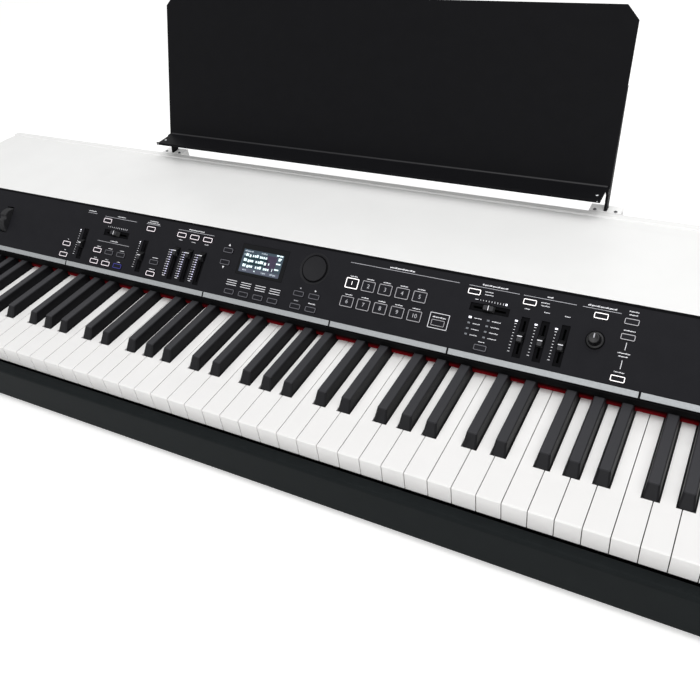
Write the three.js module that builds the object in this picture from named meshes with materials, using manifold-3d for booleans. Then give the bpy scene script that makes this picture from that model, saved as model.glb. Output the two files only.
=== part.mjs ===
// Stage piano: 88 weighted keys, a sloped control panel, a wide top cover and a music rest that lifts out.
// Lengths are in millimetres and angles in degrees. X runs to the player's right, Y away from the player
// and Z up. The working zero is the middle of the keyboard, at the top front edge of the white keys.
import * as THREE from 'three';
import { mergeVertices } from 'three/addons/utils/BufferGeometryUtils.js';
import Module from 'manifold-3d';

const wasm = await Module();
wasm.setup();

// Clearances and the overrun that every cut shares
const seat_gap = 0.3;
const running_gap = 0.5;
const cut_over = 5;

// Facet counts
const round_steps = 24;
const knob_steps = 16;
const small_round_steps = 12;
const socket_steps = 8;
const screw_steps = 6;
const corner_steps = 3;

// Keyboard, whose pitch of 23.5 follows from the width of the case and its cheeks
const white_count = 52;
const whites_per_octave = 7;
const white_gap = 0.8;
const white_head_length = 51;
const white_cap_length = 161;
const white_cap_thickness = 4;
const white_lip_height = 22;
const white_lip_thickness = 3;
const white_edge = 1;
const black_front = 51.4;
const black_back = 154.6;
const black_height = 12;
const black_skirt = 1;
const black_notch_gap = 1;
const black_top_inset = 2.4;
const black_edge_inset = 0.9;
const black_edge_drop = 1;
const black_front_slope = 9.2;
const black_corner = 1.8;
// Width of a black key as a share of the white pitch, and the centres of an octave's five black keys
// as shares of the octave from the left edge of its C
const black_width_share = 0.5872;
const black_centre_shares = [0.1258, 0.3009, 0.5508, 0.7137, 0.8754];

// Key levers and the rod they rock on
const lever_width = 8.6;
const lever_depth = 16;
const lever_front = 14;
const comb_octaves = 2;
const comb_sections = 4;
const spine_width = 8;
const spine_height = 4.2;
const spine_gap = 1;
const pivot_setback = 225;
const pivot_drop = 18;
const pivot_radius = 3;
const key_dip = 10;

// Case
const case_width = 1287;
const case_front = 15;
const case_back = 384;
const case_drop = 72;
const tray_thickness = 1;
const tray_wall_height = 32;
const tray_edge_gap = 1.7;
const rail_top_drop = 24;
const rail_back = 2;
const rail_sheet = 1.6;
const rail_radius = 4;
const rail_foot_radius = 2;
const cheek_width = 31.6;
const cheek_wall = 3;
const cheek_top = 14;
const cheek_front_radius = 9;
const cheek_sweep_radius = 6;
const cheek_gap = 0.6;
const foot_radius = 12;
const foot_height = 6;
const foot_draft = 1.5;
const foot_inset_x = 70;
const foot_front_y = 40;
const foot_back_y = 345;

// Key frame and its stop felt
const frame_sheet = 1.2;
const frame_margin = 4;
const stop_beam_front = 14;
const stop_beam_back = 66;
const stop_felt_thickness = 3;
const frame_tail = 26;

// Sloped control panel: tilt, and the place of its lower edge
const panel_tilt = 41;
const panel_front_y = 155.2;
const panel_front_z = 26.5;
const panel_length = 79.9;
const panel_thickness = 2.5;
const panel_corner = 0.9;

// Trim strip along the panel's lower edge
const trim_width = 6.2;
const trim_thickness = 1.6;
const trim_extra_tilt = 9;
const trim_joint_gap = 2;
const trim_joint_depth = 0.7;
const trim_tongue_inset = 0.3;
const trim_tongue_length = 6;
const trim_joint_far_left = -337;
const trim_joint_left = -104.8;
const trim_joint_middle = 74.1;
const trim_joint_right = 216.7;
const trim_joint_far_right = 411;

// Fallboard and the felt that hangs behind it
const fallboard_front_y = 149.8;
const fallboard_bottom_z = 12.8;
const fallboard_sheet = 2;
const fallboard_flange = 3;
const fallboard_fold_z = 18.6;
const fallboard_ledge = 2.6;
const fallboard_ledge_rise = 0.4;
const fallboard_floor_back = 161;
const felt_front_y = 155.5;
const felt_thickness = 3;
const felt_bottom_z = 0.8;

// Top cover
const cover_top_z = 80.75;
const cover_gap = 1;
const cover_thickness = 2.5;
const cover_nose = 3;
const cover_lip_radius = 0.8;
const cover_crown = 0.6;
const cover_roll_length = 20;
const cover_roll_drop = 1.4;
const cover_groove_y = 372;
const cover_groove_width = 1.2;
const cover_ridge_drop = 0.3;
const cover_rear_radius = 4;
const cover_rear_bottom_z = 60;
const cover_front_wall = 10;
const crown_steps = 4;

// Rear panel
const rear_panel_thickness = 1.2;
const rear_panel_top_z = 72;

// Panel columns, measured from the middle
const switch_x = -344.5;
const volume_x = -318;
const dynamics_button_x = -286.5;
const dynamics_slider_x = -266;
const curve_x = -288.2;
const curve_pitch = 20.4;
const curve_count = 3;
const touch_slider_x = -214;
const transpose_x = -211.5;
const split_x = -191.3;
const part_x = -161;
const part_pitch = 20.4;
const part_count = 3;
const page_x = -86;
const display_x = -34.3;
const function_x = -67.7;
const function_pitch = 20.7;
const function_count = 4;
const dial_x = 36.6;
const cursor_x = 26;
const cursor_pitch = 20.5;
const cursor_count = 2;
const number_x = 88.4;
const number_pitch = 20.7;
const number_count = 5;
const favourite_x = 199;
const reverb_button_x = 228.9;
const reverb_slider_x = 249.2;
const type_light_x = 231.5;
const type_light_pitch = 19.7;
const type_light_columns = 2;
const type_light_rows = 4;
const type_button_x = 250.3;
const equaliser_x = 288.3;
const equaliser_pitch = 20.6;
const tone_x = 359.4;
const system_x = 388.4;

// Panel rows, measured up the slope from the panel's lower edge
const row_bottom = 6.8;
const row_middle = 22.1;
const row_top = 63.7;
const slider_row = 26.5;
const across_row = 48.3;
const number_low_row = 24.8;
const number_high_row = 46.3;
const favourite_row = 22.7;
const page_low_row = 40.7;
const page_high_row = 55.9;
const display_row = 49.5;
const dial_row = 54.4;
const knob_row = 39.1;
const system_row = 48.3;
const type_light_row = 18.3;
const type_light_row_pitch = 6.05;
const wheel_row = 38;

// Buttons
const button_width = 13.8;
const button_height = 6.2;
const button_corner = 1.3;
const button_rise = 0.9;
const button_travel = 1;
const number_width = 16;
const number_height = 12.2;
const favourite_width = 15;
const favourite_height = 7;
const web_width = 3;
const web_thickness = 1;
const web_left_x = -293;
const web_right_x = 277.9;
const button_gap = 0.3;

// Sliders
const slider_travel = 30;
const cap_width = 6.6;
const cap_length = 12;
const cap_rise = 6;
const cap_sink = 0.6;
const cap_ridge_width = 5.4;
const cap_ridge_length = 1.8;
const cap_waist_length = 7;
const cap_waist_rise = 3;
const stem_width = 1.6;
const stem_length = 4;
const stem_depth = 8;
const recess_width = 8.6;
const recess_depth = 1.2;
const slider_frame_width = 9.4;
const slider_frame_length = 46;
const slider_frame_groove = 6.5;

// Value dial and tone knob
const dial_radius = 15.1;
const dial_rise = 1.2;
const dial_edge = 0.5;
const dial_rim = 1.6;
const dial_dish = 0.4;
const dial_recess_radius = 19.2;
const dial_recess_depth = 0.8;
const shaft_radius = 3;
const knob_radius = 6.2;
const knob_top_radius = 5.4;
const knob_skirt_radius = 8.5;
const knob_skirt_rise = 2.2;
const knob_rise = 12.5;
const knob_edge = 0.8;
const knob_recess_radius = 9.4;
const knob_pointer_width = 1.2;
const knob_pointer_length = 4.4;
const knob_pointer_rise = 0.4;

// Pitch wheel
const wheel_inset = 141.6;
const wheel_radius = 19;
const wheel_width = 11;
const wheel_sink = 8.5;
const wheel_axle_radius = 2.4;
const wheel_axle_length = 5;
const wheel_notch_radius = 3.5;
const wheel_edge = 1;
const wheel_slot_gap = 1.2;
const wheel_rib = 3;

// Display
const window_width = 66;
const window_height = 38;
const window_thickness = 1.5;
const module_width = 74;
const module_height = 44;
const module_thickness = 4;
const display_lip = 1;

// Circuit boards and power supply
const board_thickness = 1.6;
const board_depth = 12.6;
const board_margin = 4;
const board_from_wheel = 45;
const board_past_system = 36.6;
const boss_radius = 3;
const boss_count = 6;
const boss_end_inset = 12;
const boss_edge_inset = 7.4;
const main_board_length = 320;
const main_board_width = 90;
const main_board_y = 312;
const main_board_rise = 8;
const board_pillar_radius = 3;
const supply_length = 140;
const supply_width = 80;
const supply_height = 34;
const supply_inset = 111.6;
const supply_wall = 1.2;

// Panel lights beside the reverb types
const light_width = 3;
const light_height = 2;

// Rear sockets
const socket_z = 8;
const jack_bore = 3.25;
const jack_nut_radius = 7.5;
const jack_nut_height = 2.5;
const jack_barrel_radius = 5.4;
const jack_bore_depth = 22;
const socket_depth = 26;
const socket_board_thickness = 1.6;
const socket_board_margin = 16;
const socket_board_height = 30;
const socket_overlap = 1;
const headphone_x = -460;
const pedal_x = -180;
const pedal_pitch = 32;
const pedal_count = 3;
const output_x = 40;
const output_pitch = 32;
const output_count = 2;
const balanced_x = 130;
const balanced_pitch = 40;
const balanced_bore = 8.2;
const balanced_flange = 13;
const balanced_flange_height = 1.5;
const balanced_barrel = 9.8;
const balanced_bore_depth = 15;
const balanced_pin_radius = 1.3;
const balanced_pin_length = 9;
const balanced_pin_circle = 4;
const balanced_pin_count = 3;
const midi_x = -300;
const midi_pitch = 28;
const midi_bore = 6.4;
const midi_barrel = 7.8;
const midi_bore_depth = 6;
const data_x = -380;
const data_pitch = 34;
const data_width = 13;
const data_height = 11;
const data_wall = 1;
const data_bore_depth = 12;
const data_stand = 1;
const mains_inset = 71.6;
const mains_width = 28;
const mains_height = 22;
const mains_wall = 2;
const mains_depth = 24;
const mains_bore_depth = 17;
const mains_flange = 4;
const mains_flange_height = 2;
const mains_blade_length = 11;
const mains_blade_width = 2;
const mains_blade_height = 5;
const mains_blade_pitch = 7;
const power_from_mains = 60;
const power_width = 12;
const power_height = 19;
const power_frame = 2;
const power_depth = 14;
const power_rock = 9;
const power_crest = 2.2;

// Music rest and its brackets
const rest_tilt = 70;
const rest_width = 638.4;
const rest_plate_height = 190;
const rest_sheet = 2;
const rest_shelf_depth = 36;
const rest_shelf_inset = 2.7;
const rest_lip = 2.6;
const rest_crease_rise = 24.15;
const rest_corner = 14;
const leg_thickness = 3;
const leg_depth = 12;
const leg_inset = 0.3;
const leg_tongue = 44;
const leg_climb = 110;
const leg_arm = 8;
const leg_arm_depth = 7;
const leg_taper = 5;
const bracket_width = 36;
const bracket_wall = 2;
const bracket_bottom_z = 26;
const bracket_top_z = 79.35;

// Values worked out from the sizes above
const inner_half_width = case_width / 2 - cheek_width - seat_gap;
const keyboard_width = 2 * (inner_half_width - cheek_gap);
const keyboard_left = -keyboard_width / 2;
const white_pitch = keyboard_width / white_count;
const octave_width = white_pitch * whites_per_octave;
const black_width = black_width_share * white_pitch;
const case_floor = -case_drop;
const tray_top = case_floor + tray_thickness;
const key_swing = Math.asin(key_dip / pivot_setback);
const lever_top = -white_cap_thickness / 2;
const lever_bottom = -white_cap_thickness - lever_depth;
// The notch over the pivot rod is a right-angled V as deep as half its width
const notch_depth = (pivot_radius + running_gap) * Math.SQRT2 - pivot_drop - lever_bottom;
const lever_end = pivot_setback + notch_depth;
const spine_front = lever_end + spine_gap;
const wheel_x = wheel_inset - inner_half_width;
const mains_x = inner_half_width - mains_inset;
const power_x = mains_x - power_from_mains;
const supply_x = inner_half_width - supply_inset;
const stop_felt_top = lever_bottom - (pivot_setback - lever_front) * Math.sin(key_swing) - seat_gap;
const tilt = THREE.MathUtils.degToRad(panel_tilt);
const stage = new THREE.Group();
const panel_group = new THREE.Group();
panel_group.position.set(0, panel_front_y, panel_front_z);
panel_group.rotation.x = tilt;
stage.add(panel_group);

// Point on the side view at a distance up the panel's slope and a height square to its face
function panel_point(along, height) {
  const y = panel_front_y + along * Math.cos(tilt) - height * Math.sin(tilt);
  const z = panel_front_z + along * Math.sin(tilt) + height * Math.cos(tilt);
  return [y, z];
}

// Closed mesh to solid, and back
function solid_of(geometry) {
  const bare = geometry.clone();
  bare.deleteAttribute('normal');
  bare.deleteAttribute('uv');
  const merged = mergeVertices(bare);
  const mesh = new wasm.Mesh({
    numProp: 3,
    vertProperties: new Float32Array(merged.attributes.position.array),
    triVerts: new Uint32Array(merged.index.array),
  });
  return new wasm.Manifold(mesh);
}

function geometry_of(solid) {
  const mesh = solid.getMesh();
  const geometry = new THREE.BufferGeometry();
  geometry.setAttribute('position', new THREE.BufferAttribute(new Float32Array(mesh.vertProperties), 3));
  geometry.setIndex(new THREE.BufferAttribute(new Uint32Array(mesh.triVerts), 1));
  return geometry;
}

function shape_of(points) {
  return new THREE.Shape(points.map(([x, y]) => new THREE.Vector2(x, y)));
}

function extruded(points, length) {
  return new THREE.ExtrudeGeometry(shape_of(points), { depth: length, bevelEnabled: false });
}

// Prism of an outline drawn in the plan, between two heights
function plan_prism(points, low, high) {
  return solid_of(extruded(points, high - low).translate(0, 0, low));
}

// Prism of a side view, drawn as depth and height, between two places across the width
function side_prism(points, left, right) {
  const turn = new THREE.Matrix4().makeBasis(
    new THREE.Vector3(0, 1, 0),
    new THREE.Vector3(0, 0, 1),
    new THREE.Vector3(1, 0, 0),
  );
  return solid_of(extruded(points, right - left).applyMatrix4(turn).translate(left, 0, 0));
}

function rectangle(left, right, low, high) {
  return [[left, low], [right, low], [right, high], [left, high]];
}

function block(left, right, front, back, low, high) {
  return plan_prism(rectangle(left, right, front, back), low, high);
}

// Rectangle about a centre with its corners cut off
function clipped_rectangle(x, y, width, height, corner) {
  const w = width / 2;
  const h = height / 2;
  return [
    [x - w + corner, y - h], [x + w - corner, y - h], [x + w, y - h + corner], [x + w, y + h - corner],
    [x + w - corner, y + h], [x - w + corner, y + h], [x - w, y + h - corner], [x - w, y - h + corner],
  ];
}

function circle(x, y, radius, steps) {
  const points = [];
  for (let i = 0; i < steps; i += 1) {
    const angle = (2 * Math.PI * i) / steps;
    points.push([x + radius * Math.cos(angle), y + radius * Math.sin(angle)]);
  }
  return points;
}

// Outline whose corners, given as [x, y, radius], are rounded where they have a radius
function rounded(corners) {
  const points = [];
  corners.forEach(([x, y, radius], i) => {
    if (!radius) {
      points.push([x, y]);
      return;
    }
    const here = new THREE.Vector2(x, y);
    const last = corners[(i + corners.length - 1) % corners.length];
    const next = corners[(i + 1) % corners.length];
    const back = new THREE.Vector2(last[0] - x, last[1] - y).normalize();
    const ahead = new THREE.Vector2(next[0] - x, next[1] - y).normalize();
    const half = Math.acos(THREE.MathUtils.clamp(back.dot(ahead), -1, 1)) / 2;
    const middle = back.clone().add(ahead).normalize();
    const centre = here.clone().addScaledVector(middle, radius / Math.sin(half));
    const start = here.clone().addScaledVector(back, radius / Math.tan(half)).sub(centre);
    const end = here.clone().addScaledVector(ahead, radius / Math.tan(half)).sub(centre);
    const sweep = Math.atan2(start.cross(end), start.dot(end));
    for (let step = 0; step <= corner_steps; step += 1) {
      const spoke = start.clone().rotateAround(new THREE.Vector2(0, 0), (sweep * step) / corner_steps);
      points.push([centre.x + spoke.x, centre.y + spoke.y]);
    }
  });
  return points;
}

// Outline of a folded sheet that follows a centre line
function sheet_outline(path, thickness) {
  const sides = [[], []];
  path.forEach(([x, y], i) => {
    const before = i > 0 ? new THREE.Vector2(x - path[i - 1][0], y - path[i - 1][1]).normalize() : null;
    const after = i < path.length - 1
      ? new THREE.Vector2(path[i + 1][0] - x, path[i + 1][1] - y).normalize()
      : null;
    const first = before || after;
    const second = after || before;
    const mitre = new THREE.Vector2(-first.y - second.y, first.x + second.x).normalize();
    const reach = thickness / 2 / mitre.dot(new THREE.Vector2(-first.y, first.x));
    sides[0].push([x - mitre.x * reach, y - mitre.y * reach]);
    sides[1].unshift([x + mitre.x * reach, y + mitre.y * reach]);
  });
  return sides[0].concat(sides[1]);
}

// Solid through a stack of rings that have the same number of points and a hollow-free outline
function loft(rings) {
  const count = rings[0].length;
  const vertices = rings.flat(2);
  const faces = [];
  for (let level = 0; level < rings.length - 1; level += 1) {
    for (let i = 0; i < count; i += 1) {
      const a = level * count + i;
      const b = level * count + ((i + 1) % count);
      faces.push(a, b, b + count, a, b + count, a + count);
    }
  }
  const top = (rings.length - 1) * count;
  for (let i = 1; i < count - 1; i += 1) {
    faces.push(0, i + 1, i);
    faces.push(top, top + i, top + i + 1);
  }
  const geometry = new THREE.BufferGeometry();
  geometry.setAttribute('position', new THREE.Float32BufferAttribute(vertices, 3));
  geometry.setIndex(faces);
  return solid_of(geometry);
}

// Turned piece about the vertical axis, from a profile of [radius, height] that starts low on the axis
function turned(profile, steps) {
  const points = profile.map(([radius, height]) => new THREE.Vector2(radius, height));
  return solid_of(new THREE.LatheGeometry(points, steps).rotateX(Math.PI / 2));
}

// Turned piece whose axis points to the rear
function turned_back(profile, steps) {
  return turned(profile, steps).rotate([-90, 0, 0]);
}

function material(color, roughness, metalness) {
  return new THREE.MeshStandardMaterial({ color, roughness, metalness });
}

const white_paint = material(0xe9e9e7, 0.35, 0);
const black_plastic = material(0x232427, 0.55, 0);
const panel_black = material(0x212226, 0.5, 0);
const rail_black = material(0x2d2f30, 0.5, 0);
const key_white = material(0xf4f4f1, 0.3, 0);
const key_black = material(0x2b2b2d, 0.6, 0);
const felt_red = material(0x6e1015, 0.95, 0);
const felt_green = material(0x3b4a3f, 0.95, 0);
const trim_silver = material(0xb0b6b8, 0.35, 0.8);
const steel_grey = material(0x8c9094, 0.4, 0.9);
const board_green = material(0x1f4a34, 0.6, 0);
const rubber_black = material(0x1a1a1a, 0.9, 0);
const glass_black = material(0x0d0f12, 0.1, 0);
const jack_black = material(0x17181a, 0.45, 0);

function add(parent, name, geometry, look) {
  const mesh = new THREE.Mesh(geometry, look);
  mesh.name = name;
  parent.add(mesh);
}

// Keys hang in combs. In each section of the keyboard one comb holds the C, E, G and B keys, one the D, F
// and A keys and one the black keys, and their spines lie above one another behind the pivot rod.
const comb_sets = ['c_e_g_b', 'd_f_a', 'sharps'];
const first_c_index = 2;

// Every black key's centre and octave, from the part octave at the bottom to the top
function black_keys() {
  const keys = [];
  const first_c = keyboard_left + first_c_index * white_pitch;
  const last_edge = keyboard_left + keyboard_width - white_pitch;
  const octaves = Math.ceil(white_count / whites_per_octave);
  for (let octave = -1; octave < octaves; octave += 1) {
    for (const share of black_centre_shares) {
      const x = first_c + (octave + share) * octave_width;
      if (x > keyboard_left && x < last_edge) {
        keys.push({ octave, x });
      }
    }
  }
  return keys;
}

// Which stretch of the keyboard an octave's keys belong to
function comb_section(octave) {
  return THREE.MathUtils.clamp(Math.floor(octave / comb_octaves), 0, comb_sections - 1);
}

// Lever below a key, with a V notch over the pivot rod and a tail at the height of its comb's spine
function key_lever(front, top, centre, set) {
  const high = lever_top - set * (spine_height + spine_gap);
  const tail = spine_front + spine_gap;
  const outline = [
    [front, top],
    [front, lever_bottom],
    [pivot_setback - notch_depth, lever_bottom],
    [pivot_setback, lever_bottom + notch_depth],
    [lever_end, lever_bottom],
    [lever_end, high - spine_height],
    [tail, high - spine_height],
    [tail, high],
  ];
  if (high < top) {
    outline.push([lever_end, high], [lever_end, top]);
  }
  return side_prism(outline, centre - lever_width / 2, centre + lever_width / 2);
}

// White key between two edges, with its narrower neck between the black keys
function white_key(left, right, neck_left, neck_right, set) {
  const side = [
    [0, -white_lip_height],
    [white_lip_thickness, -white_lip_height],
    [white_lip_thickness, -white_cap_thickness],
    [white_cap_length, -white_cap_thickness],
    [white_cap_length, 0],
    [white_edge, 0],
    [0, -white_edge],
  ];
  const plan = [[left, -cut_over], [right, -cut_over]];
  if (neck_right < right) {
    plan.push([right, white_head_length], [neck_right, white_head_length]);
  }
  plan.push([neck_right, white_cap_length + cut_over], [neck_left, white_cap_length + cut_over]);
  if (neck_left > left) {
    plan.push([neck_left, white_head_length], [left, white_head_length]);
  }
  const cap = side_prism(side, left, right).intersect(
    plan_prism(plan, -white_lip_height - cut_over, cut_over),
  );
  return cap.add(key_lever(lever_front, lever_top, (neck_left + neck_right) / 2, set));
}

// Black key: a cap with sloped sides, a sloped front with clipped corners and a bevelled top edge
function black_key(centre) {
  const ring = (inset, front_inset, z) => {
    const w = black_width / 2 - inset;
    const front = black_front + front_inset;
    return [
      [centre - w + black_corner, front, z],
      [centre + w - black_corner, front, z],
      [centre + w, front + black_corner, z],
      [centre + w, black_back, z],
      [centre - w, black_back, z],
      [centre - w, front + black_corner, z],
    ];
  };
  const shoulder = black_height - black_edge_drop;
  const cap = loft([
    ring(0, 0, -black_skirt),
    ring(black_top_inset - black_edge_inset, black_front_slope - black_edge_inset, shoulder),
    ring(black_top_inset, black_front_slope, black_height),
  ]);
  const lever_start = black_front + black_front_slope;
  return cap.add(key_lever(lever_start, -black_skirt / 2, centre, comb_sets.length - 1));
}

function make_keys() {
  const blacks = black_keys();
  const combs = {};
  const put = (octave, set, solid, centre) => {
    const name = `keys_${comb_section(octave) + 1}_${comb_sets[set]}`;
    combs[name] = combs[name] || { set, solids: [], centres: [] };
    combs[name].solids.push(solid);
    combs[name].centres.push(centre);
  };
  const reach = black_width / 2 + black_notch_gap;
  for (let i = 0; i < white_count; i += 1) {
    const edge = keyboard_left + i * white_pitch;
    const left = edge + white_gap / 2;
    const right = edge + white_pitch - white_gap / 2;
    let neck_left = left;
    let neck_right = right;
    for (const { x } of blacks) {
      if (Math.abs(x - edge) < black_width / 2) {
        neck_left = x + reach;
      }
      if (Math.abs(x - edge - white_pitch) < black_width / 2) {
        neck_right = x - reach;
      }
    }
    const steps_from_c = i - first_c_index;
    const octave = Math.floor(steps_from_c / whites_per_octave);
    const set = (steps_from_c - octave * whites_per_octave) % 2;
    const key = white_key(left, right, neck_left, neck_right, set);
    put(octave, set, key, (neck_left + neck_right) / 2);
  }
  for (const { octave, x } of blacks) {
    put(octave, comb_sets.length - 1, black_key(x), x);
  }
  for (const [name, { set, solids, centres }] of Object.entries(combs)) {
    const high = lever_top - set * (spine_height + spine_gap);
    const spine = block(
      Math.min(...centres) - lever_width / 2, Math.max(...centres) + lever_width / 2,
      spine_front, spine_front + spine_width, high - spine_height, high);
    const comb = solids.reduce((whole, key) => whole.add(key), spine);
    add(stage, name, geometry_of(comb), name.endsWith('sharps') ? key_black : key_white);
  }
}

// Folded key frame: a stop beam in front, a pan on the tray and an upright that carries the pivot rod
function make_key_frame() {
  const low = tray_top + seat_gap + frame_sheet / 2;
  const beam_top = stop_felt_top - stop_felt_thickness - seat_gap - frame_sheet / 2;
  const half = inner_half_width - frame_margin;
  const pan = sheet_outline([
    [stop_beam_front, low],
    [stop_beam_front, beam_top],
    [stop_beam_back, beam_top],
    [stop_beam_back, low],
    [pivot_setback + frame_tail, low],
  ], frame_sheet);
  const upright = rectangle(
    pivot_setback - frame_sheet / 2,
    pivot_setback + frame_sheet / 2,
    low,
    -pivot_drop,
  );
  const rod = circle(pivot_setback, -pivot_drop, pivot_radius, small_round_steps);
  const frame = side_prism(pan, -half, half)
    .add(side_prism(upright, -half, half))
    .add(side_prism(rod, -half, half));
  add(stage, 'key_frame', geometry_of(frame), steel_grey);
  const felt = block(
    -half, half,
    stop_beam_front, stop_beam_back,
    stop_felt_top - stop_felt_thickness, stop_felt_top,
  );
  add(stage, 'key_stop_felt', geometry_of(felt), felt_green);
}

// Line under the top cover's side walls, which the end cheeks follow
const cover_front_y = panel_point(panel_length + cover_gap, cover_crown)[0];
const cover_nose_low = cover_top_z - cover_nose;

function cover_underline(y) {
  const share = (y - cover_front_y) / (case_back - cover_front_y);
  return cover_nose_low + share * (cover_rear_bottom_z - cover_nose_low);
}

// Moulded end cheeks, hollow and open below
function make_cheeks() {
  const [slope_y, slope_z] = panel_point(panel_length, 0);
  const slope_top = Math.min(slope_z, cover_underline(slope_y) - seat_gap);
  const back_top = cover_underline(case_back) - seat_gap;
  const outline = rounded([
    [-case_front, case_floor, rail_foot_radius],
    [case_back, case_floor, rail_foot_radius],
    [case_back, back_top],
    [slope_y, slope_top],
    [panel_front_y, panel_front_z],
    [fallboard_front_y, panel_front_z - trim_width, cheek_sweep_radius],
    [fallboard_front_y - cheek_sweep_radius, cheek_top, cheek_sweep_radius],
    [-case_front, cheek_top, cheek_front_radius],
  ]);
  const hollow = [
    [cheek_wall - case_front, case_floor - cut_over],
    [case_back - cheek_wall, case_floor - cut_over],
    [case_back - cheek_wall, back_top - cheek_wall],
    [slope_y + cheek_wall, slope_top - cheek_wall],
    [panel_front_y + cheek_wall, panel_front_z - cheek_wall],
    [fallboard_front_y + cheek_wall, cheek_top - cheek_wall],
    [cheek_front_radius - case_front, cheek_top - cheek_wall],
    [cheek_wall - case_front, cheek_top - cheek_front_radius],
  ];
  const outer = case_width / 2;
  const inner = outer - cheek_width;
  const pocket = side_prism(hollow, inner + cheek_wall, outer - cheek_wall);
  const cheek = side_prism(outline, inner, outer).subtract(pocket);
  add(stage, 'right_cheek', geometry_of(cheek), black_plastic);
  add(stage, 'left_cheek', geometry_of(cheek.mirror([1, 0, 0])), black_plastic);
}

// Front rail, folded from sheet and open behind
function make_front_rail() {
  const outline = rounded([
    [-rail_back, case_floor],
    [-rail_back, case_floor + rail_sheet],
    [rail_sheet - case_front, case_floor + rail_sheet],
    [rail_sheet - case_front, -rail_top_drop - rail_sheet, rail_radius - rail_sheet],
    [-rail_back, -rail_top_drop - rail_sheet],
    [-rail_back, -rail_top_drop],
    [-case_front, -rail_top_drop, rail_radius],
    [-case_front, case_floor, rail_foot_radius],
  ]);
  const rail = side_prism(outline, -inner_half_width, inner_half_width);
  add(stage, 'front_rail', geometry_of(rail), rail_black);
}

// Tray folded up at the front and at the rear
function make_tray() {
  const front = tray_thickness / 2 - tray_edge_gap;
  const back = rear_panel_front() - seat_gap - tray_thickness / 2;
  const low = case_floor + tray_thickness / 2;
  const path = [
    [front, low + tray_wall_height],
    [front, low],
    [back, low],
    [back, low + tray_wall_height],
  ];
  const tray = side_prism(sheet_outline(path, tray_thickness), -inner_half_width, inner_half_width);
  add(stage, 'bottom_tray', geometry_of(tray), black_plastic);
}

function make_feet() {
  const foot = turned([
    [0, case_floor - foot_height],
    [foot_radius - foot_draft, case_floor - foot_height],
    [foot_radius, case_floor],
    [0, case_floor],
  ], small_round_steps).translate([0, 0, -seat_gap]);
  const reach = case_width / 2 - foot_inset_x;
  const feet = {
    foot_front_left: [-reach, foot_front_y],
    foot_front_right: [reach, foot_front_y],
    foot_back_left: [-reach, foot_back_y],
    foot_back_right: [reach, foot_back_y],
  };
  for (const [name, [x, y]] of Object.entries(feet)) {
    add(stage, name, geometry_of(foot.translate([x, y, 0])), rubber_black);
  }
}

// Top cover: a shallow shell with a rounded nose, a faint crown, a soft roll and a raised rear ridge
function make_cover() {
  const crown_start = cover_front_y + 2 * cover_nose;
  const crown_end = cover_groove_y - cover_roll_length;
  const crown = [];
  for (let i = 1; i <= crown_steps; i += 1) {
    const share = i / crown_steps;
    const rise = 4 * cover_crown * share * (1 - share);
    crown.push([crown_start + share * (crown_end - crown_start), cover_top_z - cover_crown + rise]);
  }
  const lip_top = cover_top_z - cover_crown;
  const lip_slant = (lip_top - cover_nose_low) * Math.tan(tilt);
  const outline = rounded([
    [cover_front_y + lip_slant, cover_underline(cover_front_y + lip_slant), cover_lip_radius],
    [case_back, cover_rear_bottom_z],
    [case_back, cover_top_z - cover_ridge_drop, cover_rear_radius],
    [cover_groove_y + cover_groove_width, cover_top_z - cover_ridge_drop],
    [cover_groove_y, cover_top_z - cover_crown - cover_roll_drop],
    ...crown.reverse(),
    [cover_front_y, lip_top, cover_lip_radius],
  ]);
  const half = case_width / 2;
  const ceiling = cover_top_z - cover_crown - cover_roll_drop - cover_thickness;
  const hollow = block(
    cover_thickness - half, half - cover_thickness,
    cover_front_y + cover_front_wall, case_back - cover_thickness,
    cover_rear_bottom_z - cut_over, ceiling,
  );
  const cover = side_prism(outline, -half, half).subtract(hollow);
  add(stage, 'top_cover', geometry_of(cover), white_paint);
}

// Fallboard, folded from sheet, with the red felt that hangs behind its lower edge
function make_fallboard() {
  const flange_height = -panel_thickness - seat_gap - fallboard_sheet / 2;
  const face_y = fallboard_front_y + fallboard_sheet / 2;
  const floor_z = fallboard_bottom_z + fallboard_sheet / 2;
  const path = [
    [fallboard_floor_back, floor_z],
    [face_y, floor_z],
    [face_y, fallboard_fold_z],
    [face_y + fallboard_ledge, fallboard_fold_z + fallboard_ledge_rise],
    panel_point(0, flange_height),
    panel_point(fallboard_flange, flange_height),
  ];
  const sheet = side_prism(sheet_outline(path, fallboard_sheet), -inner_half_width, inner_half_width);
  add(stage, 'fallboard', geometry_of(sheet), black_plastic);
  const felt = block(
    -inner_half_width, inner_half_width,
    felt_front_y, felt_front_y + felt_thickness,
    felt_bottom_z, fallboard_bottom_z - seat_gap,
  );
  add(stage, 'key_felt', geometry_of(felt), felt_red);
}

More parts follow.
